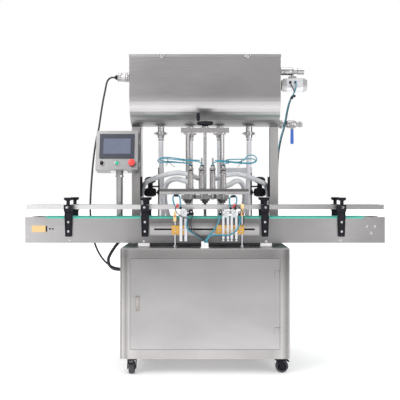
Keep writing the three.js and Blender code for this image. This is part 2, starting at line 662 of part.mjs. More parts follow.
function dosingBlock() {
  const shelf = block(-330, 330, 290, 430, SHELF_TOP - 15, SHELF_TOP);
  const upright = (x, y, radius) =>
    rod([x, y, FLOOR_TOP + GAP], [x, y, SHELF_TOP - 10], radius, 8);
  const legs = [-315, 315].flatMap((x) => [upright(x, 303, 10), upright(x, 417, 10)]);
  const guides = GUIDE_XS.map((x) => upright(x, METERING_Y, 9));
  const barrels = METERING_XS.map((x) => join(
    rod([x, METERING_Y, SHELF_TOP - 1], [x, METERING_Y, BARREL_TOP + 1], 35, 12),
    block(x - 32, x + 32, 313, 426, BARREL_TOP, VALVE_BLOCK_TOP),
    rod([x, METERING_Y, VALVE_BLOCK_TOP - 1], [x, METERING_Y, PORT_TOP], 16, 8),
    rod([x, SUPPLY_Y, VALVE_BLOCK_TOP - 1], [x, SUPPLY_Y, PORT_TOP], 16, 8)));
  const driveBarrel = rod([0, METERING_Y, SHELF_TOP - 1], [0, METERING_Y, 452], 33, 12);
  const bores = METERING_XS.flatMap((x) => [
    rod([x, METERING_Y, SHELF_TOP], [x, METERING_Y, BARREL_TOP], 30, 12),
    rod([x, METERING_Y, SHELF_TOP - 20], [x, METERING_Y, SHELF_TOP + 1], 10, 8),
  ]);
  const driveBore = join(
    rod([0, METERING_Y, SHELF_TOP], [0, METERING_Y, 442], 26, 12),
    rod([0, METERING_Y, SHELF_TOP - 20], [0, METERING_Y, SHELF_TOP + 1], 11, 12));
  return cut(join(shelf, ...legs, ...guides, ...barrels, driveBarrel), ...bores, driveBore);
}

function dosingCrosshead() {
  const bar = cut(
    block(-290, 290, METERING_Y - 22, METERING_Y + 22, CROSSHEAD_BOTTOM, CROSSHEAD_BOTTOM + 30),
    ...GUIDE_XS.map((x) =>
      rod([x, METERING_Y, CROSSHEAD_BOTTOM - 1], [x, METERING_Y, CROSSHEAD_BOTTOM + 31], 10.4, 8)));
  const pistons = METERING_XS.map((x) => join(
    rod([x, METERING_Y, CROSSHEAD_BOTTOM + 20], [x, METERING_Y, SHELF_TOP + 12], 8, 8),
    rod([x, METERING_Y, SHELF_TOP + 10], [x, METERING_Y, SHELF_TOP + 26], 28, 12)));
  const drive = join(
    rod([0, METERING_Y, CROSSHEAD_BOTTOM + 20], [0, METERING_Y, SHELF_TOP + 12], 10, 12),
    rod([0, METERING_Y, SHELF_TOP + 10], [0, METERING_Y, SHELF_TOP + 24], 24, 12));
  return join(bar, ...pistons, drive);
}

part(machine, 'dosing_block', dosingBlock(), STEEL);
part(machine, 'dosing_crosshead', dosingCrosshead(), POLISHED);

// Operator panel: a tilted box with a touch screen and three switches, on a post behind the conveyor.
function panelPost() {
  const post = cut(
    rod([POST_X, POST_Y, 700], [POST_X, POST_Y, POST_TOP], 19, 12),
    rod([POST_X, POST_Y, 690], [POST_X, POST_Y, POST_TOP - 3], 16, 12));
  const clamp = block(POST_X - 32, POST_X + 32, CONVEYOR_DEPTH + GAP, POST_Y, 735, 825);
  return cut(
    join(post, cut(clamp, rod([POST_X, POST_Y, 700], [POST_X, POST_Y, 850], 17, 12))),
    rod([POST_X, POST_Y, 690], [POST_X, POST_Y, 710], 16, 12));
}

const FACE = -PANEL_DEPTH / 2;
const CAP_RADIUS = 11;

// A point on the post's axis at a given height, as the tilted panel sees it.
const inPanel = (height) => new THREE.Vector3(POST_X - PANEL_X, 0, height - PANEL_Z)
  .applyAxisAngle(new THREE.Vector3(1, 0, 0), -radians(PANEL_TILT)).toArray();

function panelBox() {
  const x = PANEL_WIDTH / 2;
  const z = PANEL_HEIGHT / 2;
  const y = PANEL_DEPTH / 2;
  const shell = cut(
    block(-x, x, -y, y, -z, z),
    block(-x + 2, x - 2, -y + 2, y - 2, -z + 2, z - 2));
  const neck = rod(inPanel(POST_TOP + GAP), inPanel(PANEL_Z - z + 6), 22, 12);
  const rings = Object.values(SWITCH_XS).map((sx) =>
    rod([sx, FACE - 5, SWITCH_Z], [sx, FACE + 1, SWITCH_Z], 14.5, 12));
  const holes = Object.values(SWITCH_XS).map((sx) =>
    rod([sx, FACE - 6, SWITCH_Z], [sx, FACE + 3, SWITCH_Z], CAP_RADIUS + 0.6, 12));
  return cut(join(shell, neck, ...rings), ...holes);
}

const touchScreen = () =>
  block(-100.5, 100.5, FACE - 6, FACE - GAP, -51, 96);

function stopButton() {
  const x = SWITCH_XS.stop;
  return join(
    rod([x, FACE - 11, SWITCH_Z], [x, FACE + 14, SWITCH_Z], CAP_RADIUS, 12),
    rod([x, FACE - 26, SWITCH_Z], [x, FACE - 10, SWITCH_Z], 20, 20, CAP_RADIUS));
}

function selectorSwitch() {
  const x = SWITCH_XS.selector;
  return join(
    rod([x, FACE - 8, SWITCH_Z], [x, FACE + 14, SWITCH_Z], CAP_RADIUS, 12),
    block(x - 4, x + 4, FACE - 20, FACE - 7, SWITCH_Z - 11, SWITCH_Z + 11));
}

function startButton() {
  const x = SWITCH_XS.start;
  return rod([x, FACE - 9, SWITCH_Z], [x, FACE + 14, SWITCH_Z], CAP_RADIUS, 12);
}

const panel = new THREE.Group();
panel.position.set(PANEL_X, POST_Y, PANEL_Z);
panel.rotation.x = radians(PANEL_TILT);
part(panel, 'panel_box', panelBox(), STEEL);
part(panel, 'touch_screen', touchScreen(), SCREEN);
part(panel, 'selector_switch', selectorSwitch(), BLACK);
part(panel, 'start_button', startButton(), GREEN);
part(panel, 'stop_button', stopButton(), RED);
machine.add(panel);
part(machine, 'panel_post', panelPost(), POLISHED);

// Supply hoses run from the hopper's outlets down to the metering valves.
METERING_XS.forEach((x, index) => {
  const top = OUTLET_XS[index];
  const route = [
    [x, SUPPLY_Y, PORT_TOP + GAP], [x, SUPPLY_Y, 650], [(x + top) / 2, SUPPLY_Y + 1.5, 950],
    [top, HOPPER_Y, 1220], [top, HOPPER_Y, OUTLET_END - GAP],
  ];
  part(machine, `supply_hose_${index + 1}`, hose(route, HOSE_RADIUS, 8), HOSE);
});

// Filling hoses climb behind the conveyor and curl forward to the nozzles.
const OUTER_LEFT = [
  [-256, METERING_Y, PORT_TOP + GAP], [-256, METERING_Y, 528], [-290, 366, 590], [-342, 394, 645],
  [-371, 400, 690], [-377, 420, 752], [-380, 447, 808], [-388, 460, 850], [-396, 463, 900],
  [-397, 461, 950], [-390, 455, 990], [-380, 437, 1020], [-360, 410, 1040], [-322, 368, 1056],
  [-262, 300, 1074], [-196, 230, 1088], [-140, 180, 1089], [-85, 148, 1076], [-38, 135, 1058],
  [-18, 128, 1052], [-18, HOSE_END_Y, 1052],
];
const INNER_LEFT = [
  [-90, METERING_Y, PORT_TOP + GAP], [-90, METERING_Y, 530], [-110, METERING_Y, 590],
  [-142, METERING_Y, 645], [-165, METERING_Y, 690], [-200, 343, 770], [-228, 341, 850],
  [-243, 338, 925], [-243, 330, 985], [-228, 302, 1030], [-195, 258, 1051], [-160, 208, 1054],
  [-128, 162, 1046], [-98, 138, 1037],
  [-81, 129, 1035], [-81, HOSE_END_Y, 1035],
];
const INNER_RIGHT = [
  [90, METERING_Y, PORT_TOP + GAP], [90, METERING_Y, 530], [110, METERING_Y, 590],
  [142, METERING_Y, 645], [165, METERING_Y, 690], [200, 343, 770], [226, 341, 850],
  [238, 335, 920], [238, 318, 975], [227, 286, 1020], [202, 246, 1042], [172, 202, 1038],
  [147, 162, 1022], [120, 138, 1014],
  [105, 128, 1012], [105, HOSE_END_Y, 1012],
];
const OUTER_RIGHT = [
  [256, METERING_Y, PORT_TOP + GAP], [256, METERING_Y, 528], [290, 366, 590], [342, 394, 645],
  [371, 400, 690], [377, 420, 752], [380, 447, 808], [388, 460, 850], [396, 463, 900],
  [397, 461, 948], [390, 455, 986], [380, 437, 1015], [360, 410, 1034], [322, 368, 1049],
  [258, 295, 1070], [192, 225, 1084], [148, 178, 1081], [100, 148, 1070], [60, 135, 1056],
  [44, 128, 1052], [44, HOSE_END_Y, 1052],
];
[OUTER_LEFT, INNER_LEFT, INNER_RIGHT, OUTER_RIGHT].forEach((route, index) => {
  part(machine, `filling_hose_${index + 1}`, hose(route, HOSE_RADIUS, 26), HOSE);
});

// Level sensor cable and panel conduit, both into the cabinet's left side
const SENSOR_CABLE = [
  [-HALF_WIDTH - SENSOR_LENGTH - 2 * GAP, HOPPER_Y, SENSOR_Z], [-580, HOPPER_Y, 1684], [-601, 402, 1666],
  [-618, 400, 1596], [-633, 390, 1509], [-650, 360, 1362], [-660, 335, 1296], [-668, 300, 1203],
  [-675, 265, 1070], [-680, 240, 905], [-676, 225, 838], [-665, 210, 750], [-644, 200, 670],
  [-616, 195, 612], [-580, CABLE_Y, 566], [-540, CABLE_Y, 540], [-500, CABLE_Y, 531],
  [-472.3, CABLE_Y, GLAND_Z],
];
const PANEL_CONDUIT = [
  [POST_X, POST_Y, 709], [-502, 192, 690], [-520, 184, 666], [-547, 174, 624], [-561, 165, 590],
  [-556, 158, 558], [-534, 152, 537], [-503, CONDUIT_Y, GLAND_Z], [-472.3, CONDUIT_Y, GLAND_Z],
];
part(machine, 'sensor_cable', hose(SENSOR_CABLE, CABLE_RADIUS, 40), BLACK);
part(machine, 'panel_conduit', hose(PANEL_CONDUIT, CONDUIT_RADIUS, 16), BLACK);

machine.position.y = -CENTRE_Y;
const filler = new THREE.Group();
filler.add(machine);

export default filler;
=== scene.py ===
"""Looks of the four-head piston filler: finishes for the CAD pieces, and finer pieces that ride on them."""

import math

import bmesh
import bpy
from mathutils import Matrix, Vector


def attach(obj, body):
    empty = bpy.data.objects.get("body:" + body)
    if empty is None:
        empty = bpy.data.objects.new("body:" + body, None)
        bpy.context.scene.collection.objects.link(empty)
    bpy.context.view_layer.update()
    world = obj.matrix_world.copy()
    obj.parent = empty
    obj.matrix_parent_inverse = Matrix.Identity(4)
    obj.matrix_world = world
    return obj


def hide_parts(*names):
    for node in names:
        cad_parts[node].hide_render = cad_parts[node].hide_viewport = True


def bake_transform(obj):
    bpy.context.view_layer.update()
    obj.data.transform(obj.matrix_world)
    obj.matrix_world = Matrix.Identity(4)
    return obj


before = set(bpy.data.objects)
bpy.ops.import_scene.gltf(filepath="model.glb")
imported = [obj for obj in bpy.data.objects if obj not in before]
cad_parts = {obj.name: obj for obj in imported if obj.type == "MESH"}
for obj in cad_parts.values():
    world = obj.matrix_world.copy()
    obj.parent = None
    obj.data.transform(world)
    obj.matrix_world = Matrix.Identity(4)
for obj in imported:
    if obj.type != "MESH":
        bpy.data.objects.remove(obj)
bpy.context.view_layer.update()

# Places are in millimetres as in the CAD source: y counts from the conveyor's front face.
SHIFT_Y = 199.25
MM = 0.001


def row(x, y, z):
    """A place in the row frame, in metres."""
    return Vector((x * MM, (y - SHIFT_Y) * MM, z * MM))


# ---------------------------------------------------------------- camera, light and floor
CAMERA_LENS = 58.3
CAMERA_SHIFT = (-0.0125, -0.025)
CAMERA_PLACE = (0, -3600, 990)


def make_camera():
    data = bpy.data.cameras.new("camera")
    data.lens = CAMERA_LENS
    data.shift_x, data.shift_y = CAMERA_SHIFT
    camera = bpy.data.objects.new("camera", data)
    camera.location = row(*CAMERA_PLACE)
    camera.rotation_euler = (math.pi / 2, 0, 0)
    bpy.context.scene.collection.objects.link(camera)
    bpy.context.scene.camera = camera


def area_light(name, place, target, size, power):
    data = bpy.data.lights.new(name, "AREA")
    data.shape = "RECTANGLE"
    data.size, data.size_y = size
    data.energy = power
    light = bpy.data.objects.new(name, data)
    light.location = place
    light.rotation_euler = (Vector(target) - Vector(place)).to_track_quat("-Z", "Y").to_euler()
    bpy.context.scene.collection.objects.link(light)


def preset(node, **values):
    """Sets a node's own sockets: From_Min sets "From Min"."""
    for name, value in values.items():
        node.inputs[name.replace("_", " ")].default_value = value
    return node


def map_range(nodes, links, value, source, target):
    """Maps a value from one range to another."""
    out = preset(nodes.new("ShaderNodeMapRange"), From_Min=source[0], From_Max=source[1],
                 To_Min=target[0], To_Max=target[1])
    links.new(value, out.inputs["Value"])
    return out.outputs["Result"]


def color_ramp(nodes, links, value, stops):
    """A colour that changes with a value between 0 and 1."""
    ramp = nodes.new("ShaderNodeValToRGB")
    while len(ramp.color_ramp.elements) < len(stops):
        ramp.color_ramp.elements.new(0.5)
    for element, (place, color) in zip(ramp.color_ramp.elements, stops):
        element.position = place
        element.color = (*color, 1)
    links.new(value, ramp.inputs["Fac"])
    return ramp.outputs["Color"]


SKY = ((0.30, (0.62, 0.62, 0.63)), (0.52, (0.72, 0.71, 0.72)), (0.9, (1.0, 1.0, 1.0)))


def make_world():
    """White where the camera sees it. As light it is brighter at the top, and dimmer behind the object."""
    world = bpy.data.worlds.new("studio")
    world.use_nodes = True
    bpy.context.scene.world = world
    nodes, links = world.node_tree.nodes, world.node_tree.links
    nodes.clear()
    output = nodes.new("ShaderNodeOutputWorld")
    mix = nodes.new("ShaderNodeMixShader")
    seen = preset(nodes.new("ShaderNodeBackground"), Color=(1, 1, 1, 1), Strength=1.0)
    lit = nodes.new("ShaderNodeBackground")
    path = nodes.new("ShaderNodeLightPath")
    coords = nodes.new("ShaderNodeTexCoord")
    split = nodes.new("ShaderNodeSeparateXYZ")
    links.new(coords.outputs["Generated"], split.inputs[0])
    strength = map_range(nodes, links, split.outputs["Y"], (-0.2, 0.95), (0.92, 0.14))
    height = map_range(nodes, links, split.outputs["Z"], (-1, 1), (0, 1))
    links.new(strength, lit.inputs["Strength"])
    links.new(color_ramp(nodes, links, height, SKY), lit.inputs["Color"])
    links.new(path.outputs["Is Camera Ray"], mix.inputs["Fac"])
    links.new(lit.outputs[0], mix.inputs[1])
    links.new(seen.outputs[0], mix.inputs[2])
    links.new(mix.outputs[0], output.inputs["Surface"])


def make_studio():
    bpy.context.scene.view_settings.view_transform = "Standard"
    make_world()
    area_light("key", (-2.6, -3.2, 3.2), (0, 0, 0.9), (2.2, 2.2), 90)
    area_light("fill", (2.8, -3.0, 1.8), (0, 0, 0.9), (1.8, 2.4), 36)
    area_light("top", (0, 0.3, 4.0), (0, 0, 0.8), (3.0, 2.0), 60)
    bpy.ops.mesh.primitive_plane_add(size=60, location=(0, 0, -0.0005))
    floor = bpy.context.object
    floor.name = "floor"
    floor.data.materials.append(plain_floor())


# ---------------------------------------------------------------- materials
def node_material(name):
    material = bpy.data.materials.new(name)
    material.use_nodes = True
    nodes, links = material.node_tree.nodes, material.node_tree.links
    return material, nodes, links, nodes["Principled BSDF"]


def plain_floor():
    """Pale, and glowing more with the distance so that it fades into the white background."""
    material, nodes, links, shader = node_material("floor")
    preset(shader, Base_Color=(0.95, 0.95, 0.95, 1), Roughness=0.8, Emission_Color=(1, 1, 1, 1))
    coords = nodes.new("ShaderNodeTexCoord")
    reach = nodes.new("ShaderNodeVectorMath")
    reach.operation = "LENGTH"
    links.new(coords.outputs["Object"], reach.inputs[0])
    glow = map_range(nodes, links, reach.outputs["Value"], (1.0, 5.0), (0.28, 0.75))
    links.new(glow, shader.inputs["Emission Strength"])
    return material


def noise(nodes, links, stretch, detail=5.0):
    """Noise over the object's own space. The stretch is one scale, or one along each axis."""
    scale = stretch if isinstance(stretch, tuple) else (stretch, stretch, stretch)
    coords = nodes.new("ShaderNodeTexCoord")
    mapping = preset(nodes.new("ShaderNodeMapping"), Scale=scale)
    texture = preset(nodes.new("ShaderNodeTexNoise"), Scale=1.0, Detail=detail)
    links.new(coords.outputs["Object"], mapping.inputs["Vector"])
    links.new(mapping.outputs["Vector"], texture.inputs["Vector"])
    return texture.outputs["Fac"]


def spread(nodes, links, value, low, high):
    """Maps noise, which stays near a half, to a range."""
    return map_range(nodes, links, value, (0.3, 0.7), (low, high))


def tinted(nodes, links, factor, dark, light):
    mix = nodes.new("ShaderNodeMix")
    mix.data_type = "RGBA"
    mix.inputs["A"].default_value = (*dark, 1)
    mix.inputs["B"].default_value = (*light, 1)
    links.new(factor, mix.inputs["Factor"])
    return mix.outputs["Result"]


def multiplied(nodes, links, one, other):
    mix = nodes.new("ShaderNodeMix")
    mix.data_type = "RGBA"
    mix.blend_type = "MULTIPLY"
    mix.inputs["Factor"].default_value = 1.0
    links.new(one, mix.inputs["A"])
    links.new(other, mix.inputs["B"])
    return mix.outputs["Result"]


def grained(nodes, links, shader, fine, rough, spot, bump):
    """Fine noise in a shader's roughness and bump."""
    links.new(spread(nodes, links, fine, max(0.03, rough - spot), rough + spot), shader.inputs["Roughness"])
    relief = preset(nodes.new("ShaderNodeBump"), Strength=bump, Distance=0.001)
    links.new(fine, relief.inputs["Height"])
    links.new(relief.outputs["Normal"], shader.inputs["Normal"])


def surface(name, color, rough, metal, grain, blotch, vary, bump, coat=0.0, shine=0.5):
    """A finish with fine grain in its roughness and bump, and slow changes of shade."""
    material, nodes, links, shader = node_material(name)
    fine = noise(nodes, links, grain)
    slow = noise(nodes, links, blotch, 3.0)
    both = nodes.new("ShaderNodeMath")
    both.operation = "ADD"
    half = nodes.new("ShaderNodeMath")
    half.operation = "MULTIPLY"
    half.inputs[1].default_value = 0.5
    links.new(fine, both.inputs[0])
    links.new(slow, both.inputs[1])
    links.new(both.outputs[0], half.inputs[0])
    dark = [c * (1 - vary) for c in color]
    light = [min(1.0, c * (1 + vary)) for c in color]
    factor = spread(nodes, links, half.outputs[0], 0.0, 1.0)
    links.new(tinted(nodes, links, factor, dark, light), shader.inputs["Base Color"])
    grained(nodes, links, shader, fine, rough, 0.06, bump)
    preset(shader, Metallic=metal, Coat_Weight=coat, Specular_IOR_Level=shine)
    return material


def painted_light_bands(nodes, links, axis, low, high, shades):
    """Painted light and shade that change along one axis of the object's own space, in metres."""
    coords = nodes.new("ShaderNodeTexCoord")
    split = nodes.new("ShaderNodeSeparateXYZ")
    links.new(coords.outputs["Object"], split.inputs[0])
    along = map_range(nodes, links, split.outputs[axis], (low, high), (0, 1))
    return color_ramp(nodes, links, along, [(place, (shade * 1.02, shade, shade)) for place,
                                            shade in shades])


def painted_light_steel(name, axis, low, high, shades, grain, rough=0.32, second=None):
    """Brushed steel with bands of painted light and shade along one axis, or along two."""
    material, nodes, links, shader = node_material(name)
    shade = painted_light_bands(nodes, links, axis, low, high, shades)
    if second:
        shade = multiplied(nodes, links, shade, painted_light_bands(nodes, links, *second))
    fine = noise(nodes, links, grain)
    slow = noise(nodes, links, (2.5, 3, 5), 3.0)
    factor = spread(nodes, links, slow, 0.0, 1.0)
    tint = tinted(nodes, links, factor, (0.91, 0.91, 0.91), (1.06, 1.06, 1.06))
    links.new(multiplied(nodes, links, shade, tint), shader.inputs["Base Color"])
    grained(nodes, links, shader, fine, rough, 0.06, 0.06)
    shader.inputs["Metallic"].default_value = 1.0
    return material


BRUSH_X = (6, 900, 900)
BRUSH_Z = (900, 900, 6)
FINISH = {
    "brushed": surface("brushed_steel_along", (0.40, 0.385, 0.39), 0.34, 1.0, BRUSH_X, (1.5, 2, 4), 0.16,
                       0.10),
    "upright": surface("brushed_steel_up", (0.37, 0.36, 0.355), 0.36, 1.0, BRUSH_Z, (4, 4, 1.5), 0.16,
                       0.10),
    "satin": surface("satin_steel", (0.47, 0.455, 0.46), 0.30, 1.0, BRUSH_X, (1.2, 3, 6), 0.10, 0.05),
    # A darker copy of the stainless steel for the panel box: painted shade against the bright sky its
    # tilted face reflects.
    "panel": surface("panel_steel", (0.29, 0.285, 0.285), 0.38, 1.0, BRUSH_X, (3, 5, 8), 0.10, 0.06),
    "latch": surface("latch_steel", (0.33, 0.30, 0.27), 0.34, 1.0, BRUSH_X, (4, 6, 6), 0.12, 0.08),
    "post": surface("post_steel", (0.42, 0.41, 0.41), 0.26, 1.0, BRUSH_Z, (4, 4, 1.5), 0.06, 0.03),
    "nozzle": surface("nozzle_steel", (0.30, 0.29, 0.29), 0.34, 1.0, BRUSH_Z, 9, 0.14, 0.05),
    "polished": surface("polished_steel", (0.50, 0.49, 0.50), 0.18, 1.0, 60, 8, 0.06, 0.02),
    "aluminium": surface("aluminium", (0.68, 0.69, 0.72), 0.30, 0.9, BRUSH_X, 5, 0.06, 0.08),
    "gold": surface("gold_anodised", (0.62, 0.36, 0.09), 0.36, 0.75, 200, 9, 0.12, 0.05),
    "black": surface("black_plastic", (0.018, 0.017, 0.022), 0.60, 0.0, 350, 12, 0.25, 0.12,
                     shine=0.08),
    "tyre": surface("wheel_rubber", (0.045, 0.044, 0.052), 0.62, 0.0, 300, 14, 0.25, 0.15),
    "teal": surface("belt_plastic", (0.07, 0.42, 0.34), 0.60, 0.0, 220, 10, 0.10, 0.08),
    "paint": surface("motor_paint", (0.36, 0.39, 0.41), 0.45, 0.1, 260, 9, 0.10, 0.10),
    "blue": surface("blue_sleeve", (0.03, 0.10, 0.42), 0.38, 0.0, 200, 20, 0.12, 0.05, coat=0.3),
    "tube": surface("blue_air_tube", (0.008, 0.19, 0.27), 0.22, 0.0, 200, 20, 0.15, 0.02, coat=0.4),
    "red": surface("red_cap", (0.72, 0.045, 0.04), 0.32, 0.0, 200, 20, 0.08, 0.03, coat=0.3),
    "green": surface("green_cap", (0.01, 0.36, 0.20), 0.30, 0.0, 200, 20, 0.08, 0.03, coat=0.3),
    "yellow": surface("yellow_housing", (0.72, 0.53, 0.25), 0.40, 0.0, 250, 20, 0.08, 0.05),
    "label": surface("label_film", (0.64, 0.44, 0.20), 0.5, 0.0, 150, 25, 0.05, 0.02),
    "screen": surface("screen_glass", (0.11, 0.125, 0.18), 0.10, 0.0, 30, 9, 0.10, 0.0, coat=0.5),
    "bezel": surface("screen_bezel", (0.024, 0.028, 0.044), 0.34, 0.0, 350, 9, 0.12, 0.06),
    "hose": surface("clear_hose", (0.60, 0.60, 0.63), 0.20, 0.0, (90, 90, 30), 9, 0.10, 0.03, coat=0.6),
    "ribbed": surface("ribbed_hose", (0.58, 0.58, 0.61), 0.18, 0.0, 120, 12, 0.20, 0.04, coat=0.4),
    "cable": surface("cable_sheath", (0.022, 0.021, 0.028), 0.48, 0.0, 300, 20, 0.2, 0.08),
    "glow": surface("red_lamp", (0.50, 0.04, 0.05), 0.34, 0.0, 100, 9, 0.05, 0.0, coat=0.5),
    "white": surface("white_plastic", (0.82, 0.82, 0.81), 0.38, 0.0, 250, 20, 0.05, 0.05),
}
# Painted reflection and shade: the conveyor plates are lighter at the ends and darkest in the middle.
FINISH["plate"] = painted_light_steel(
    "plate_steel", "X", -1.0, 1.0,
    ((0.0, 0.50), (0.06, 0.42), (0.17, 0.35), (0.27, 0.31), (0.36, 0.18), (0.50, 0.15), (0.64, 0.18),
     (0.72, 0.28), (0.88, 0.34), (0.95, 0.26), (1.0, 0.22)), BRUSH_X)
# Painted light: the guide rails are bright at the left end and darken towards the right.
FINISH["rail"] = painted_light_steel(
    "rail_profile", "X", -1.0, 1.0,
    ((0.0, 0.72), (0.22, 0.66), (0.5, 0.56), (0.7, 0.44), (0.85, 0.30), (1.0, 0.24)), BRUSH_X)
# Painted reflection: the door is lighter at the bottom and darker towards its top.
FINISH["door"] = painted_light_steel(
    "door_steel", "Z", 0.14, 0.62,
    ((0.0, 0.44), (0.3, 0.38), (0.65, 0.33), (1.0, 0.27)), BRUSH_X, 0.36)
# Painted highlights and shade: light and dark stripes along the posts' edges, and the frame darker towards
# its top rail.
FINISH["frame"] = painted_light_steel(
    "frame_steel", "X", -0.45, 0.45,
    ((0.0, 0.20), (0.012, 0.52), (0.03, 0.30), (0.052, 0.50), (0.12, 0.42), (0.5, 0.46), (0.90, 0.36),
     (0.955, 0.46), (0.985, 0.24), (1.0, 0.40)), BRUSH_X, 0.34,
    ("Z", 0.10, 0.70, ((0.0, 1.0), (0.4, 0.95), (0.72, 0.70), (0.90, 0.48), (1.0, 0.60))))
# Painted highlight and shade: a lit band across the middle of the stopper rail, darker below and above.
FINISH["stopper"] = painted_light_steel(
    "stopper_steel", "Z", 0.735, 0.815,
    ((0.0, 0.16), (0.10, 0.38), (0.35, 0.44), (0.60, 0.42), (0.70, 0.28), (0.85, 0.21), (1.0, 0.19)),
    BRUSH_X)
# Painted shade and highlights: a dark band low on the carriage, a lit band on its cross bar, darker at the
# top.
FINISH["carriage"] = painted_light_steel(
    "carriage_steel", "Z", 0.90, 1.00,
    ((0.0, 0.07), (0.34, 0.08), (0.38, 0.30), (0.61, 0.36), (0.65, 0.20), (0.69, 0.46), (0.80, 0.42),
     (0.83, 0.13), (1.0, 0.17)), BRUSH_X)
# Painted highlight and shade: a bright band low on the hopper shell, a dark edge at its bottom, and even
# shade above.
FINISH["tank"] = painted_light_steel(
    "tank_steel", "Z", 1.38, 1.80,
    ((0.0, 0.24), (0.10, 0.46), (0.24, 0.50), (0.37, 0.36), (0.42, 0.31), (0.8, 0.33), (1.0, 0.36)),
    BRUSH_X)


# ---------------------------------------------------------------- CAD pieces that stay
SHARP_ANGLE = 40


def soften(piece, bevel, angle):
    """Smooth round faces, and a bevel in millimetres on edges sharper than an angle in degrees."""
    piece.data.shade_smooth()
    piece.data.set_sharp_from_angle(angle=math.radians(angle))
    if bevel:
        edge = piece.modifiers.new("edge", "BEVEL")
        edge.width = bevel * MM
        edge.segments = 2
        edge.limit_method = "ANGLE"
        edge.angle_limit = math.radians(angle)


def dress(node, finish, bevel):
    """Gives a CAD piece its finish, softened edges and smooth round faces."""
    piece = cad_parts[node]
    piece.data.materials.clear()
    piece.data.materials.append(FINISH[finish])
    soften(piece, bevel, SHARP_ANGLE)


# ---------------------------------------------------------------- mesh building
UP, DOWN = (0, 0, 1), (0, 0, -1)
FRONT, BACK = (0, -1, 0), (0, 1, 0)
LEFT, RIGHT = (-1, 0, 0), (1, 0, 0)


def turn_to(along):
    """The rotation that takes up to a direction."""
    return Vector(UP).rotation_difference(Vector(along).normalized()).to_matrix()


def around(count, radius=1.0, start=0.0):
    """Places evenly spaced round a circle, as pairs."""
    for k in range(count):
        angle = start + 2 * math.pi * k / count
        yield radius * math.cos(angle), radius * math.sin(angle)


class Shape:
    """Solids gathered into one mesh. Places are in millimetres, and `at` turns them first if it is set."""

    def __init__(self, at=None):
        self.mesh = bmesh.new()
        self.at = at
        self.paint = 0

    def corner(self, x, y, z):
        place = self.at @ Vector((x, y, z)) if self.at else Vector((x, y, z))
        return self.mesh.verts.new(row(*place))

    def face(self, corners):
        made = self.mesh.faces.new(corners)
        made.material_index = self.paint
        return made

    def skin(self, rings):
        """Faces between rings of corners that follow each other. A ring of one corner is a tip."""
        for a, b in zip(rings, rings[1:]):
            sides = max(len(a), len(b))
            for i in range(sides):
                j = (i + 1) % sides
                if len(a) == 1:
                    self.face([a[0], b[j], b[i]])
                elif len(b) == 1:
                    self.face([a[i], a[j], b[0]])
                else:
                    self.face([a[i], a[j], b[j], b[i]])

    def box(self, x0, x1, y0, y1, z0, z1):
        low, high = ([self.corner(x, y, z) for x, y in ((x0, y0), (x1, y0), (x1, y1), (x0, y1))]
                     for z in (z0, z1))
        self.face(low[::-1])
        self.face(high)
        self.skin([low, high])

    def lathe(self, profile, base, along=UP, sides=24, closed=False):
        """(radius, distance) pairs turned about a direction from a base point. A closed profile makes a
        ring; otherwise open ends are capped."""
        turn = turn_to(along)
        rings = []
        for radius, far in profile:
            spots = around(sides, radius) if radius else ((0, 0),)
            rings.append([self.corner(*(Vector(base) + turn @ Vector((*spot, far)))) for spot in spots])
        if closed:
            self.skin(rings + rings[:1])
            return
        self.skin(rings)
        if len(rings[0]) > 1:
            self.face(rings[0][::-1])
        if len(rings[-1]) > 1:
            self.face(rings[-1])

    def rod(self, start, end, radius, sides=20, far_radius=None):
        start, end = Vector(start), Vector(end)
        length = (end - start).length
        self.lathe([(radius, 0), (far_radius or radius, length)], start, end - start, sides)

    def ring(self, place, along, radius, thick, sides, round_sides):
        """A torus about a direction."""
        turn = turn_to(along)
        loops = []
        for cos_a, sin_a in around(sides):
            loop = []
            for out, lift in around(round_sides, thick):
                spot = Vector(((radius + out) * cos_a, (radius + out) * sin_a, lift))
                loop.append(self.corner(*(Vector(place) + turn @ spot)))
            loops.append(loop)
        self.skin(loops + loops[:1])

    def prism(self, outline, axis, low, high):
        """An outline pushed along x, read as (y, z), or along y, read as (x, z)."""
        def place(u, v, depth):
            return (depth, u, v) if axis == "x" else (u, depth, v)
        near = [self.corner(*place(u, v, low)) for u, v in outline]
        far = [self.corner(*place(u, v, high)) for u, v in outline]
        self.face(near)
        self.face(far[::-1])
        self.skin([far, near])

    def sweep(self, line, radius_at, sides=12):
        """A tube along a line of points, with a radius for each distance along it."""
        points = [Vector(p) for p in line]
        side = Vector((1, 0, 0))
        rings, far = [], 0.0
        for i, point in enumerate(points):
            ahead = points[min(i + 1, len(points) - 1)] - points[max(i - 1, 0)]
            ahead.normalize()
            side = side - ahead * side.dot(ahead)
            if side.length < 1e-3:
                side = ahead.orthogonal()
            side.normalize()
            up = ahead.cross(side)
            if i:
                far += (point - points[i - 1]).length
            radius = radius_at(far)
            rings.append([self.corner(*(point + side * c + up * s)) for c, s in around(sides, radius)])
        self.skin(rings)
        self.face(rings[0][::-1])
        self.face(rings[-1])

    def piece(self, name, finishes, body="machine", bevel=0.0, angle=35, replaces=()):
        bmesh.ops.recalc_face_normals(self.mesh, faces=self.mesh.faces)
        data = bpy.data.meshes.new(name)
        self.mesh.to_mesh(data)
        self.mesh.free()
        for finish in finishes:
            data.materials.append(FINISH[finish])
        made = bpy.data.objects.new(name, data)
        bpy.context.scene.collection.objects.link(made)
        soften(made, bevel, angle)
        if body:
            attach(made, body)
        if replaces:
            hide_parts(*replaces)
        return made


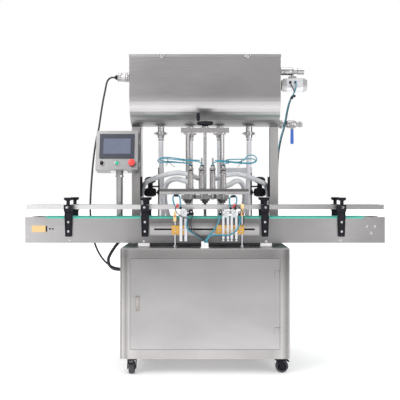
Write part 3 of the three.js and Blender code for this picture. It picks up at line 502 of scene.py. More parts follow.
def smooth_line(points, step):
    """A centripetal Catmull-Rom curve through points, cut into pieces about a step long."""
    points = [Vector(p) for p in points]
    first = points[0] * 2 - points[1]
    last = points[-1] * 2 - points[-2]
    ends = [first, *points, last]
    line = []
    for i in range(1, len(ends) - 2):
        p0, p1, p2, p3 = ends[i - 1:i + 3]
        t1 = (p1 - p0).length ** 0.5
        t2 = t1 + (p2 - p1).length ** 0.5
        t3 = t2 + (p3 - p2).length ** 0.5
        count = max(1, round((p2 - p1).length / step))
        for k in range(count):
            t = t1 + (t2 - t1) * k / count
            a1 = p0 * ((t1 - t) / t1) + p1 * (t / t1)
            a2 = p1 * ((t2 - t) / (t2 - t1)) + p2 * ((t - t1) / (t2 - t1))
            a3 = p2 * ((t3 - t) / (t3 - t2)) + p3 * ((t - t2) / (t3 - t2))
            b1 = a1 * ((t2 - t) / t2) + a2 * (t / t2)
            b2 = a2 * ((t3 - t) / (t3 - t1)) + a3 * ((t - t1) / (t3 - t1))
            line.append(b1 * ((t2 - t) / (t2 - t1)) + b2 * ((t - t1) / (t2 - t1)))
    line.append(points[-1])
    return line


# ---------------------------------------------------------------- the CAD's own pieces
STAYING = {
    "cabinet_frame": ("frame", 2.5), "cabinet_panels": ("brushed", 0.5), "table_top": ("satin", 0.8),
    "cabinet_door": ("door", 2.0), "conveyor_side_front": ("plate", 0.7),
    "conveyor_side_rear": ("plate", 0.7), "drive_roller": ("black", 1.0), "idler_roller": ("black", 1.0),
    "guide_rail_front": ("rail", 1.5), "guide_rail_rear": ("rail", 1.5),
    "stopper_rail": ("stopper", 1.0), "stopper_left_rod": ("polished", 0.8),
    "stopper_right_rod": ("polished", 0.8), "hopper_tank": ("tank", 1.0),
    "hopper_lid": ("brushed", 0.8), "hopper_frame": ("upright", 2.0), "lift_frame": ("post", 1.5),
    "lift_carriage": ("carriage", 1.2), "dosing_block": ("satin", 1.5),
    "dosing_crosshead": ("satin", 1.5), "panel_post": ("post", 0.8), "panel_box": ("panel", 2.0),
}


def dress_cad():
    for node, (finish, bevel) in STAYING.items():
        dress(node, finish, bevel)


# ---------------------------------------------------------------- hoses and cables
HOPPER_Y = 403
METERING_Y = 345
SUPPLY_Y = 400
PORT_TOP = 500.3
OUTLET_END = 1310.7
METERING_XS = (-256, -90, 90, 256)
OUTLET_XS = (-272, -90, 90, 272)
NOZZLE_XS = (-81, -18, 44, 105)
PORT_HEIGHTS = (1035, 1052, 1052, 1012)
NOZZLE_Y = 78
HOSE_END_Y = 112
HOSE_RADIUS = 15
LIFT_Y = 190

OUTER_LEFT = (
    (-256, 345, 500.3), (-256, 345, 528), (-290, 366, 590), (-342, 394, 645), (-371, 400, 690),
    (-377, 420, 752), (-380, 447, 808), (-388, 460, 850), (-396, 463, 900), (-397, 461, 950),
    (-390, 455, 990), (-380, 437, 1020), (-360, 410, 1040), (-322, 368, 1056), (-262, 300, 1074),
    (-196, 230, 1088), (-140, 180, 1089), (-85, 148, 1076), (-38, 135, 1058), (-18, 128, 1052),
    (-18, 112, 1052),
)
INNER_LEFT = (
    (-90, 345, 500.3), (-90, 345, 530), (-110, 345, 590), (-142, 345, 645), (-165, 345, 690),
    (-200, 343, 770), (-228, 341, 850), (-243, 338, 925), (-243, 330, 985), (-228, 302, 1030),
    (-195, 258, 1051), (-160, 208, 1054), (-128, 162, 1046), (-98, 138, 1037), (-81, 129, 1035),
    (-81, 112, 1035),
)
INNER_RIGHT = (
    (90, 345, 500.3), (90, 345, 530), (110, 345, 590), (142, 345, 645), (165, 345, 690),
    (200, 343, 770), (226, 341, 850), (238, 335, 920), (238, 318, 975), (227, 286, 1020),
    (202, 246, 1042), (172, 202, 1038), (147, 162, 1022), (120, 138, 1014), (105, 128, 1012),
    (105, 112, 1012),
)
OUTER_RIGHT = (
    (256, 345, 500.3), (256, 345, 528), (290, 366, 590), (342, 394, 645), (371, 400, 690),
    (377, 420, 752), (380, 447, 808), (388, 460, 850), (396, 463, 900), (397, 461, 948),
    (390, 455, 986), (380, 437, 1015), (360, 410, 1034), (322, 368, 1049), (258, 295, 1070),
    (192, 225, 1084), (148, 178, 1081), (100, 148, 1070), (60, 135, 1056), (44, 128, 1052),
    (44, 112, 1052),
)
SENSOR_CABLE = (
    (-557.6, 403, 1685), (-580, 403, 1684), (-601, 402, 1666), (-618, 400, 1596), (-633, 390, 1509),
    (-650, 360, 1362), (-660, 335, 1296), (-668, 300, 1203), (-675, 265, 1070), (-680, 240, 905),
    (-676, 225, 838), (-665, 210, 750), (-644, 200, 670), (-616, 195, 612), (-580, 195, 566),
    (-540, 195, 540), (-500, 195, 531), (-472.3, 195, 530),
)
PANEL_CONDUIT = (
    (-500, 195, 709), (-502, 192, 690), (-520, 184, 666), (-547, 174, 624), (-561, 165, 590),
    (-556, 158, 558), (-534, 152, 537), (-503, 150, 530), (-472.3, 150, 530),
)


SMALL_LINES = {
    "left_stop_air_tube": (4, "tube", "machine", (
        (-92, -62, 851), (-95, -66, 832), (-100, -74, 807), (-96, -84, 780), (-73, -92, 761),
        (-43, -102, 743), (-18, -112, 726), (-6, -118, 714), (-2, -120, 702))),
    "right_stop_air_tube_1": (4, "tube", "machine", (
        (83, -58, 855), (75, -66, 824), (64, -76, 796), (48, -86, 772), (31, -96, 753),
        (16, -106, 737), (7, -116, 722), (4, -120, 702))),
    "right_stop_air_tube_2": (4, "tube", "machine", (
        (187, -58, 852), (191, -72, 830), (188, -84, 805), (179, -92, 783), (161, -97, 763),
        (136, -99, 749), (109, -99, 744), (73, -99, 747), (44, -101, 746), (27, -108, 739),
        (13, -118, 724), (9, -123, 702))),
    "left_eye_cable": (2.5, "cable", "machine", (
        (-160, -56, 899), (-161, -68, 882), (-146, -82, 860), (-123, -84, 844), (-101, -80, 836),
        (-88, -76, 824), (-86, -79, 807), (-82, -88, 783), (-68, -97, 764), (-39, -109, 744),
        (-14, -118, 725), (-8, -122, 704))),
    "left_stop_cable": (2.5, "cable", "machine", (
        (-72, -50, 876), (-63, -60, 862), (-68, -66, 846), (-76, -70, 826), (-78, -76, 806),
        (-72, -84, 784), (-58, -92, 765), (-30, -103, 744), (-8, -112, 728), (-1, -115, 704))),
    "right_eye_cable": (2.5, "cable", "machine", (
        (168, -56, 908), (182, -68, 899), (198, -76, 882), (209, -76, 862), (211, -68, 830),
        (205, -50, 791))),
    "left_stop_loop": (4, "tube", "machine", (
        (-167, -52, 905), (-176, -44, 938), (-173, -36, 957), (-157, -34, 964), (-141, -38, 954),
        (-136, -46, 930), (-134, -54, 898))),
    "right_stop_loop": (4, "tube", "machine", (
        (140, -54, 896), (134, -46, 925), (138, -38, 948), (155, -34, 960), (171, -36, 952),
        (174, -44, 930), (166, -54, 900))),
    "left_bundle_front": (3, "tube", "carriage", (
        (-18, 61, 1132), (-24, 54, 1143), (-44, 50, 1151), (-113, 50, 1156), (-196, 52, 1165),
        (-240, 53, 1167), (-259, 54, 1164), (-267, 56, 1156), (-260, 57, 1147), (-240, 58, 1144),
        (-196, 58, 1146), (-128, 56, 1143),
        (-96, 55, 1139), (-81, 61, 1132))),
    "left_bundle_back": (3, "tube", "carriage", (
        (-30, 84, 1158), (-44, 74, 1159), (-66, 68, 1160), (-113, 66, 1162), (-180, 66, 1172),
        (-222, 66, 1175), (-242, 67, 1173), (-252, 68, 1165), (-246, 69, 1156), (-226, 70, 1152),
        (-190, 70, 1151), (-150, 70, 1147), (-118, 73, 1144), (-94, 78, 1143))),
    "right_bundle_front": (3, "tube", "carriage", (
        (44, 61, 1132), (50, 54, 1144), (68, 50, 1150), (129, 50, 1147), (210, 50, 1140),
        (268, 51, 1141), (291, 52, 1156), (284, 53, 1178), (260, 54, 1187), (235, 55, 1178),
        (222, 57, 1160), (196, 59, 1149), (150, 59, 1148), (120, 58, 1141), (105, 61, 1132))),
    "right_bundle_back": (3, "tube", "carriage", (
        (58, 84, 1158), (72, 74, 1158), (94, 68, 1157), (140, 66, 1152), (212, 66, 1144),
        (258, 66, 1144), (278, 67, 1148), (286, 68, 1156), (279, 69, 1164), (258, 70, 1167),
        (220, 70, 1165), (176, 70, 1164), (144, 74, 1163), (118, 78, 1160))),
    "valve_air_tube": (3.5, "tube", "machine", (
        (554, 352, 1650), (556, 344, 1636), (553, 348, 1606), (546, 366, 1584), (531, 378, 1561),
        (516, 380, 1526), (503, 380, 1476), (493, 380, 1422), (481, 381, 1369), (468, 396, 1320),
        (460, 430, 1262), (452, 448, 1200), (446, 452, 1080), (444, 452, 900), (440, 450, 730),
        (438, 449, 690))),
    "valve_cable": (3, "cable", "machine", (
        (522, 352, 1650), (526, 345, 1632), (540, 350, 1604), (545, 372, 1583), (535, 385, 1561),
        (522, 388, 1526), (510, 388, 1476), (500, 388, 1422), (489, 389, 1369), (476, 404, 1320),
        (467, 436, 1262), (460, 454, 1200), (455, 460, 1080), (452, 461, 900), (448, 460, 730),
        (446, 459, 690))),
}


def smooth(far):
    """A cord without ribs."""
    return 1.0


def ribs(pitch, depth):
    """Rounded ribs along a hose: the depth is a share of its radius."""
    return lambda far: 1 - depth * (0.5 - 0.5 * math.cos(2 * math.pi * far / pitch))


def cord(name, route, radius, relief, finish, step, sides=16, replaces=(), bends=False,
         body="machine"):
    """A tube along a route, both of whose ends are on the object."""
    line = smooth_line(route, step)
    shape = Shape()
    shape.sweep(line, lambda far: radius * relief(far), sides)
    made = shape.piece(name, [finish], None if bends else body, replaces=replaces, angle=80)
    if bends:
        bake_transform(made)


def make_cords():
    for number, (x, top) in enumerate(zip(METERING_XS, OUTLET_XS), 1):
        route = ((x, SUPPLY_Y, PORT_TOP), (x, SUPPLY_Y, 650), ((x + top) / 2, SUPPLY_Y + 1.5, 950),
                 (top, HOPPER_Y, 1220), (top, HOPPER_Y, OUTLET_END))
        cord(f"supply_hose_{number}_clear", route, HOSE_RADIUS, ribs(14, 0.03), "hose", 3.5,
             sides=24, replaces=[f"supply_hose_{number}"])
    for number, route in enumerate((OUTER_LEFT, INNER_LEFT, INNER_RIGHT, OUTER_RIGHT), 1):
        cord(f"filling_hose_{number}_ribbed", route, HOSE_RADIUS, ribs(9, 0.12), "ribbed", 1.8,
             sides=20, replaces=[f"filling_hose_{number}"], bends=True)
    cord("sensor_cable_sheath", SENSOR_CABLE, 5.5, smooth, "cable", 6,
         replaces=["sensor_cable"])
    cord("panel_conduit_sleeve", PANEL_CONDUIT, 9.5, ribs(5, 0.14), "cable", 1.25,
         replaces=["panel_conduit"])
    for name, (radius, finish, body, route) in SMALL_LINES.items():
        cord(name, route, radius, smooth, finish, 4, sides=14,
             body=body)


# ---------------------------------------------------------------- conveyor
ROLLER_X = 890
ROLLER_Z = 779
BELT_RADIUS = 61.5  # of the belt's middle about the rollers
BELT_SLATS = 155
BRACKET_XS = (-757, -333, 333, 757)
RAIL_Z = 894.5


def make_belt():
    """Hinged slats all the way round the two rollers."""
    straight = 2 * ROLLER_X
    bend = math.pi * BELT_RADIUS
    pitch = 2 * (straight + bend) / BELT_SLATS
    belt = Shape()
    for number in range(BELT_SLATS):
        far = pitch * number
        if far < straight:
            x, z, turn = -ROLLER_X + far, ROLLER_Z + BELT_RADIUS, 0.0
        elif far < straight + bend:
            turn = (far - straight) / BELT_RADIUS
            x, z = ROLLER_X + BELT_RADIUS * math.sin(turn), ROLLER_Z + BELT_RADIUS * math.cos(turn)
        elif far < 2 * straight + bend:
            x, z, turn = ROLLER_X - (far - straight - bend), ROLLER_Z - BELT_RADIUS, math.pi
        else:
            turn = math.pi + (far - 2 * straight - bend) / BELT_RADIUS
            x, z = -ROLLER_X + BELT_RADIUS * math.sin(turn), ROLLER_Z + BELT_RADIUS * math.cos(turn)
        belt.at = Matrix.Translation((x, 0, z)) @ Matrix.Rotation(turn, 4, "Y")
        belt.box(-11.6, 11.6, 12, 143, -0.6, 1.45)
        for start in range(15, 140, 16):
            belt.box(-12.6, 12.6, start, start + 9, -2.3, 0.4)
    belt.at = None
    belt.piece("belt_of_slats", ["teal"], bevel=0.35, replaces=["conveyor_belt"])


def bracket_cover(shape, x, face, out):
    """A tapered plastic bracket with its clamp knob, over the CAD's own on the plate at `face`. `out` is -1
    for the front plate and 1 for the rear one."""
    lean = ((x - 17.6, 731.5), (x + 17.6, 731.5), (x + 21.6, 840), (x + 21.6, 907.5), (x - 21.6, 907.5),
            (x - 21.6, 840))
    near, far = sorted((face - out * 0.9, face + out * 12.7))
    shape.paint = 0
    shape.prism(lean, "y", near, far)
    near, far = sorted((face + out * 12.0, face + out * 32.6))
    shape.box(x - 21.6, x + 21.6, near, far, 871.4, 884)
    shape.box(x - 21.6, x + 21.6, near, far, 905, 907.6)
    for side in (-1, 1):
        low, high = sorted((x + side * 9, x + side * 21.6))
        shape.box(low, high, near, far, 883, 906)
    shape.lathe([(8, 0), (13, 0), (13, 1.5), (8, 1.5)], (x, face + out * 32.2, RAIL_Z), (0, out, 0), 24,
                closed=True)
    rib_near, rib_far = sorted((face + out * 12, face + out * 17))
    for side in (-1, 1):
        shape.prism(((x + side * 15 - 1.5, 742), (x + side * 15 + 1.5, 742), (x + side * 18 + 1.5, 870),
                     (x + side * 18 - 1.5, 870)), "y", rib_near, rib_far)
    knob_y = face + out * 16
    shape.lathe([(0, 0), (13, 0), (13, 2), (9.8, 4), (9.8, 24), (15, 28.6), (24, 42), (23.4, 43.2),
                 (0, 43.4)],
                (x, knob_y, 905), UP, 28)
    shape.prism(((x - 22, 940), (x - 20, 934), (x - 10, 931), (x + 10, 931), (x + 20, 934), (x + 22, 940),
                 (x + 20, 947), (x - 20, 947)), "y", knob_y - 9, knob_y + 9)
    shape.paint = 1
    for z in (760, 812):
        shape.lathe([(0, 0), (6.6, 0), (6.6, 1.4), (5.6, 2.2), (0, 2.2)], (x, face + out * 12.4, z),
                    (0, out, 0), 20)


def hex_bolt(shape, place, along, radius, height):
    """A washer under a hexagon head."""
    shape.lathe([(0, 0), (radius * 1.45, 0), (radius * 1.45, 1.0), (0, 1.0)], place, along, 24)
    base = Vector(place) + Vector(along).normalized() * 0.9
    shape.lathe([(0, 0), (radius, 0), (radius, height * 0.8), (radius * 0.85, height), (0, height)], base,
                along, 6)


def make_conveyor():
    make_belt()
    for name, face, out in (("front_rail_brackets", 0, -1), ("rear_rail_brackets", 155, 1)):
        shape = Shape()
        for x in BRACKET_XS:
            bracket_cover(shape, x, face, out)
        shape.piece(name, ["black", "polished"], bevel=0.8)
    strips = Shape()
    for face, out in ((0, -1), (155, 1)):
        strips.box(-880, 880, *sorted((face + out * 0.7, face - out * 0.5)), 831.5, 839.6)
    strips.piece("wear_strips", ["teal"], bevel=0.2)
    # White faces on the steel feet under the conveyor: a painted highlight on the feet.
    under = Shape()
    for x in (-340, 340):
        under.box(x - 32, x + 32, 3.2, 8.4, 678.6, 695.8)
    # A black strip between the feet: painted shadow in the gap under the conveyor plates.
    under.paint = 1
    under.box(-306, 306, 12, 15, 682, 695.8)
    under.piece("feet_highlights_and_gap_shade", ["white", "cable"], bevel=0.4)
    ends = Shape()
    for x in (-ROLLER_X - 78, ROLLER_X + 78):
        ends.rod((x, 4, 826), (x, 151, 826), 11, 24)
        ends.rod((x + (7 if x < 0 else -7), 4, 826), (x + (7 if x < 0 else -7), 151, 826), 12, 24)
    ends.piece("transfer_rollers", ["black"], bevel=0.8)
    bolts = Shape()
    for x, z in ((899, 788), (944, 788), (923, 751), (-975, 740), (752, 712), (-752, 712), (340, 704),
                 (-340, 704)):
        for face, out in ((0, -1), (155, 1)):
            if out == 1 and x > 780:
                continue
            hex_bolt(bolts, (x, face, z), (0, out, 0), 5.0, 3.6)
    bolts.piece("conveyor_bolts", ["polished"], bevel=0.3)
    bearings = Shape()
    bearings.lathe([(0, 0), (13.4, 0), (13, 0.7), (0, 0.7)], (ROLLER_X, 0, ROLLER_Z), FRONT, 40)
    bearings.lathe([(0, 0), (24, 0), (24, 2.4), (19, 4.4), (13, 4.4), (12, 3.0), (0, 3.0)],
                   (-ROLLER_X, 155, ROLLER_Z), BACK, 40)
    bearings.piece("roller_end_covers", ["plate"], bevel=0.2)
    label = Shape()
    label.box(-962, -886, -0.8, 0, 756, 792.5)
    label.paint = 1
    label.box(-885, -877, -0.8, 0, 758, 790.5)
    for x in (-862, -846):
        label.lathe([(0, 0), (5, 0), (4, 2), (0, 2.4)], (x, 0, 774), FRONT, 20)
    label.piece("safety_label", ["label", "black"])
    motor = Shape()
    face = 155.3
    motor.box(ROLLER_X - 50, ROLLER_X + 50, face, face + 14, 724, 820)
    motor.box(ROLLER_X - 46, ROLLER_X + 46, face + 12, face + 80, 728, 816)
    motor.box(ROLLER_X - 50, ROLLER_X + 50, face + 76, face + 90, 724, 820)
    motor.lathe([(0, 88), (41, 88), (41, 96), (36, 98), (36, 104)], (ROLLER_X, face, 768), BACK, 40)
    for k in range(13):
        motor.lathe([(35, 0), (41, 0.8), (41, 4.2), (35, 5)], (ROLLER_X, face + 104 + 8 * k, 768), BACK, 40)
    motor.lathe([(35, 100), (36, 102), (36, 208), (41, 210), (41, 246), (36, 250), (0, 250)],
                (ROLLER_X, face, 768), BACK, 40)
    motor.box(ROLLER_X - 26, ROLLER_X + 26, face + 118, face + 178, 800, 819)
    motor.paint = 1
    for dx, dz in ((-40, 734), (40, 734), (-40, 810), (40, 810)):
        motor.lathe([(0, 0), (5, 0), (5, 3), (0, 3)], (ROLLER_X + dx, face + 80, dz), FRONT, 6)
    motor.lathe([(0, 250), (30, 250), (30, 250.6), (0, 250.6)], (ROLLER_X, face, 768), BACK, 40)
    motor.lathe([(0, 0), (11, 0), (11, 3), (8, 4), (8, 10), (0, 10)], (ROLLER_X - 26, face + 148, 809),
                (-1, 0, 0), 20)
    motor.piece("gear_motor_body", ["paint", "black"], bevel=1.2, replaces=["gear_motor"])


# ---------------------------------------------------------------- bottle stops
STOP_Z = 866


def slotted_plate(shape, x, half, slot, low, high):
    """An upright plate with a long slot, in front of the clamp block."""
    near, far = -50.3, -38.3
    for side in (-1, 1):
        left, right = sorted((x + side * slot, x + side * half))
        shape.box(left, right, near, far, low, high)
    shape.box(x - slot - 0.5, x + slot + 0.5, near, far, high - 12, high)


def stop_cylinder(shape, x, radius, faces):
    """A short air cylinder: a bored body, a flat cap and its screws."""
    plate, dark, bright = faces
    shape.paint = plate
    shape.lathe([(6.9, 0), (radius - 1, 0), (radius, 1), (radius, 14), (radius - 1.6, 15),
                 (radius - 1.6, 18),
                 (radius, 19), (radius, 37), (6.9, 37)], (x, -22.3, STOP_Z), FRONT, 44, closed=True)
    shape.lathe([(0, 37), (radius, 37), (radius, 46), (radius - 2.4, 48), (radius - 4.5, 48),
                 (radius - 5, 47),
                 (0, 47)], (x, -22.3, STOP_Z), FRONT, 44)
    shape.paint = dark
    for dx, dz in around(4, radius * 0.62, math.pi / 4):
        shape.lathe([(0, 0), (1.9, 0), (1.9, 1), (0, 1)], (x + dx, -69.2, STOP_Z + dz), FRONT, 14)
    shape.paint = bright
    shape.lathe([(0, 0), (4.4, 0), (3.6, 2.8), (0, 3)], (x, -69.2, STOP_Z), FRONT, 24)


def socket_screw(shape, x, y, z, radius=5.0):
    shape.lathe([(radius * 0.55, 0.6), (radius * 0.55, 3.4), (radius * 0.85, 3.6), (radius, 3),
                 (radius, 0), (0, 0)],
                (x, y, z), FRONT, 24)


def photo_eye(shape, x, top, low, faces):
    """A small bottle sensor on a thin rod that stands on the table."""
    housing, lens, rod = faces
    shape.paint = rod
    shape.rod((x, -25, 678.4), (x, -25, low + 2), 4, 20)
    shape.lathe([(0, 0), (11, 0), (11, 3), (6, 7), (0, 7)], (x, -25, 678.4), UP, 28)
    shape.paint = housing
    shape.box(x - 8, x + 8, -62, -24, low, top)
    shape.box(x - 6, x + 6, -58, -30, top - 1, top + 12)
    shape.paint = lens
    shape.lathe([(0, 0), (5, 0), (4, 2.4), (0, 3)], (x, -62, top - 14), FRONT, 24)


def elbow(shape, x, y, z):
    """A black push-in fitting with its tube port pointing down."""
    shape.box(x - 7, x + 7, y - 7, y + 10, z - 3, z + 13)
    shape.lathe([(0, 0), (7.4, 0), (7.4, 8), (5.4, 9.6), (0, 9.6)], (x, y, z - 1), DOWN, 24)


def make_stops():
    left = Shape()
    left.box(-183, -99, -40.3, -10.3, 745, 794)
    left.box(-178, -146, -44, -39, 752, 787)
    left.paint = 1
    slotted_plate(left, -118.5, 21, 5.5, 709, 852)
    stop_cylinder(left, -118, 22, (1, 2, 3))
    left.paint = 3
    socket_screw(left, -118.5, -50, 772)
    for z in (760, 779):
        socket_screw(left, -162, -43.8, z, 4)
    left.piece("left_stop_unit", ["gold", "aluminium", "black", "polished"], bevel=0.8,
               replaces=["stopper_left"])
    right = Shape()
    right.box(60, 215, -40.3, -10.3, 748, 797)
    right.box(186, 212, -44, -39, 754, 791)
    right.box(63, 88, -44, -39, 754, 791)
    right.paint = 1
    for x in (113, 159):
        slotted_plate(right, x, 19, 6, 721, 852)
        for side in (-1, 1):
            right.box(x + side * 13 - 6, x + side * 13 + 6, -52, -38, 709, 716)
            right.box(x + side * 13 - 3, x + side * 13 + 3, -49, -40, 715, 722)
    for x in (115, 160):
        stop_cylinder(right, x, 16.5, (1, 2, 3))
    right.paint = 3
    for x in (113, 159):
        socket_screw(right, x, -50, 772)
    for z in (762, 783):
        socket_screw(right, 199, -43.8, z, 4)
        socket_screw(right, 75, -43.8, z, 4)
    right.piece("right_stop_unit", ["gold", "aluminium", "black", "polished"], bevel=0.8,
                replaces=["stopper_right"])
    eyes = Shape()
    photo_eye(eyes, -165, 861, 818, (0, 2, 1))
    photo_eye(eyes, 204, 872, 847, (0, 2, 1))
    eyes.paint = 0
    eyes.box(195, 213, -62, -30, 886, 913)
    eyes.paint = 1
    eyes.box(200, 208, -45, -36, 870, 888)
    eyes.piece("bottle_eyes", ["yellow", "aluminium", "glow"], bevel=1.0)
    fittings = Shape()
    elbow(fittings, -92, -62, 860)
    elbow(fittings, 83, -58, 863)
    elbow(fittings, 187, -58, 860)
    fittings.box(-84, -66, -60, -40, 852, 884)
    fittings.box(-100, -84, -56, -40, 864, 876)
    fittings.box(-140, -128, -60, -46, 884, 897)
    fittings.box(134, 146, -60, -46, 882, 895)
    fittings.box(160, 172, -62, -46, 880, 900)
    fittings.rod((-171, -34.6, 960), (-146, -36, 959), 6.4, 16)
    fittings.rod((143, -36, 954), (168, -35, 956), 6.4, 16)
    fittings.paint = 1
    for x, y, z in ((-76, -60, 870), (-92, -69, 866), (83, -65, 869), (187, -65, 866)):
        fittings.lathe([(0, 0), (3.6, 0), (3, 1.6), (0, 1.8)], (x, y, z), FRONT, 20)
    fittings.paint = 2
    for x, z in ((-150, 906), (162, 906)):
        fittings.lathe([(0, -8), (7, -8), (7, 4), (6, 7), (3, 9), (0, 9.4)], (x, -54, z), (0, -0.4, 1), 24)
        fittings.box(x - 12, x + 2, -58, -46, 893, 901)
    fittings.paint = 1
    fittings.lathe([(0, 0), (13, 0), (13, 4), (9.5, 6), (9.5, 34), (8, 35), (0, 35)], (-11, -117, 678.3),
                   UP, 28)
    fittings.lathe([(0, 0), (15, 0), (15, 4), (11, 6), (11, 26), (9, 28), (0, 28)], (8, -121, 678.3), UP,
                   28)
    # A black strip behind the stopper rail's slot: painted shade in the slot.
    fittings.paint = 0
    fittings.box(-284, 278, -4.6, -0.4, 765, 779)
    fittings.piece("stop_fittings", ["black", "white", "glow"], bevel=0.8)


# ---------------------------------------------------------------- hose supports behind the conveyor
STAND_Y = 484


def make_supports():
    stand = Shape()
    for side in (-1, 1):
        stand.rod((side * 291, STAND_Y, 678.4), (side * 291, STAND_Y, 1132), 5, 24)
        stand.lathe([(0, 0), (7.6, 0), (7.6, 9), (5, 12), (0, 12)], (side * 291, STAND_Y, 678.4), UP, 32)
        stand.rod((side * 291, STAND_Y, 975), (side * 345, STAND_Y, 975), 5, 20)
        stand.rod((side * 291, STAND_Y, 1012), (side * 345, STAND_Y, 1012), 5, 20)
    stand.piece("hose_stands", ["cable"], bevel=0.3)
    drums = Shape()
    for side in (-1, 1):
        x = side * 345
        drums.lathe([(0, 0), (20, 0), (24, 3), (35, 6), (36, 9), (36, 46), (34, 50), (22, 54), (16, 56),
                     (16, 84),
                     (24, 88), (32, 92), (33, 96), (33, 112), (29, 118), (18, 124), (0, 126)],
                    (x, STAND_Y, 948), UP, 44)
        for ribs_round, radius, low, high, thick in ((22, 36, 958, 992, 1.8), (12, 33, 1044, 1060, 2.2)):
            for dx, dy in around(ribs_round, radius):
                drums.rod((x + dx, STAND_Y + dy, low), (x + dx, STAND_Y + dy, high), thick, 8)
        inner, outer = sorted((side * 387, side * 399.8))
        drums.box(inner, outer, 387, 415, 949, 1071)
        drums.box(*sorted((side * 281, side * 301)), STAND_Y - 12, STAND_Y + 12, 962, 990)
    drums.piece("support_knobs", ["black"], bevel=0.8)
    bars = Shape()
    bars.box(139, 296, STAND_Y - 12, STAND_Y + 12, 1097, 1130)
    bars.rod((141, STAND_Y, 1113), (126, STAND_Y, 1113), 9, 24)
    bars.piece("air_manifold", ["aluminium"], bevel=1.2)
    # White rods along the left upright's inner edge: a painted highlight on the upright.
    strip = Shape()
    strip.rod((-392, 408, 1071), (-392, 408, 1377), 7, 20)
    strip.rod((-392, 408, 880), (-392, 408, 949), 7, 20)
    strip.piece("upright_edge_highlight_rod", ["white"], bevel=0.5)
    ties = Shape()
    for x, z in ((-210, 1160), (-120, 1154), (206, 1149), (132, 1150)):
        ties.ring((x, 61, z), RIGHT, 13.5, 1.2, 28, 8)
    ties.rod((-206, 50, 1148), (-221, 46, 1124), 1.4, 8)
    ties.rod((-204, 50, 1148), (-170, 46, 1118), 1.4, 8)
    ties.rod((200, 50, 1138), (184, 46, 1118), 1.4, 8)
    ties.piece("bundle_ties", ["cable"], "carriage")
    knot = Shape()
    knot.lathe([(5, -6), (9, -6), (9, 6), (5, 6)], (533, 381, 1556), (0.4, -0.1, 1), 20, closed=True)
    knot.box(538, 556, 374, 384, 1560, 1574)
    knot.piece("valve_line_tie", ["black"], bevel=1.0)


# ---------------------------------------------------------------- casters
def make_casters():
    places = ((-395, -80, -90), (395, -80, 0), (-395, 426, 140), (395, 426, 35))
    cheek = ((-20, 79), (22, 79), (36, 44), (34, 30), (30, 25), (16, 25), (10, 32), (8, 44))
    pedal = ((4, 80), (22, 79), (40, 75), (54, 69), (62, 63), (61, 59), (57, 58.5), (38, 69), (4, 74))
    for number, (x, y, turn) in enumerate(places, 1):
        at = Matrix.Translation((x, y, 0)) @ Matrix.Rotation(math.radians(turn), 4, "Z")
        wheel = Shape(at)
        wheel.lathe([(24, -14), (31, -15), (34.2, -11), (35, -6), (35, 6), (34.2, 11), (31, 15), (24, 14)],
                    (22, 0, 35), BACK, 48, closed=True)
        wheel.paint = 1
        wheel.lathe([(6.4, -17), (11, -17), (12, -12), (15, -9), (24.4, -10), (24.4, 10), (15, 9), (12, 12),
                     (11, 17), (6.4, 17)], (22, 0, 35), BACK, 36, closed=True)
        for dx, dz in around(5, 18):
            for side in (-1, 1):
                wheel.lathe([(0, 0), (3, 0), (2.4, 1.2), (0, 1.2)], (22 + dx, side * 9.5, 35 + dz),
                            (0, side, 0), 12)
        wheel.piece(f"caster_{number}_tyre_and_hub", ["tyre", "black"], f"wheel_{number}",
                    replaces=[f"caster_wheel_{number}"])
        fork = Shape(at)
        fork.lathe([(0, 76), (22, 76), (24, 77.5), (24, 79.5), (22.5, 80), (22.5, 81.2), (24.6, 81.6),
                    (24.6, 83.7), (0, 83.7)], (0, 0, 0), UP, 36)
        fork.box(-20, 30, -24, 24, 73.5, 79)
        fork.prism(cheek, "y", -24, -20)
        fork.prism(cheek, "y", 20, 24)
        fork.prism(pedal, "y", -14, 14)
        fork.paint = 1
        fork.rod((22, -23.9, 35), (22, 23.9, 35), 5.4, 20)
        for k in range(5):
            fork.box(44 + 3 * k, 45.4 + 3 * k, -11, 11, 73.6 - 2 * k, 75.2 - 2 * k)
        fork.piece(f"caster_{number}_fork_and_pedal", ["black", "polished"], f"caster_{number}", bevel=0.9,
                   replaces=[f"caster_fork_{number}"])


# ---------------------------------------------------------------- hopper, valves and sensor
def clamp_ring(shape, place, along, radius, wing=None):
    """A tri-clamp: a grooved band with a hinge lug and a wing nut to one side."""
    shape.lathe([(radius - 9, -9), (radius - 2, -9), (radius, -7), (radius, -2), (radius - 2.5, 0),
                 (radius, 2),
                 (radius, 7), (radius - 2, 9), (radius - 9, 9)], place, along, 40, closed=True)
    if not wing:
        return
    out = Vector(wing).normalized()
    side = Vector(along).normalized().cross(out)
    centre = Vector(place)
    for way in (-1, 1):
        shape.rod(centre + out * (radius - 3) * way - side * 3,
                  centre + out * (radius + 7) * way - side * 3,
                  6.5, 16)
    start = centre + out * (radius + 2) - side * 14
    shape.rod(start, start + side * 34, 3.2, 14)
    nut = start + side * 30
    shape.lathe([(0, 0), (6, 0), (5, 8), (0, 8)], nut, side, 16)
    for way in (-1, 1):
        shape.rod(nut + side * 3, nut + side * 10 + out * 9 * way, 2.6, 12, 3.4)


CLIP_RADIUS = 16.4


def hose_clip(shape, place, along):
    """A worm-drive band round a hose end."""
    radius = CLIP_RADIUS
    shape.lathe([(radius - 1.6, -5), (radius, -5), (radius, 5), (radius - 1.6, 5)], place, along, 32,
                closed=True)
    way = Vector(along).normalized()
    out = Vector((1, 0, 0)) if abs(way.x) < 0.5 else Vector((0, -1, 0))
    side = way.cross(out)
    spot = Vector(place) + out * (radius + 1.2)
    shape.rod(spot - side * 6, spot + side * 6, 3.4, 14)
    shape.rod(spot + side * 6, spot + side * 9, 2.6, 6)


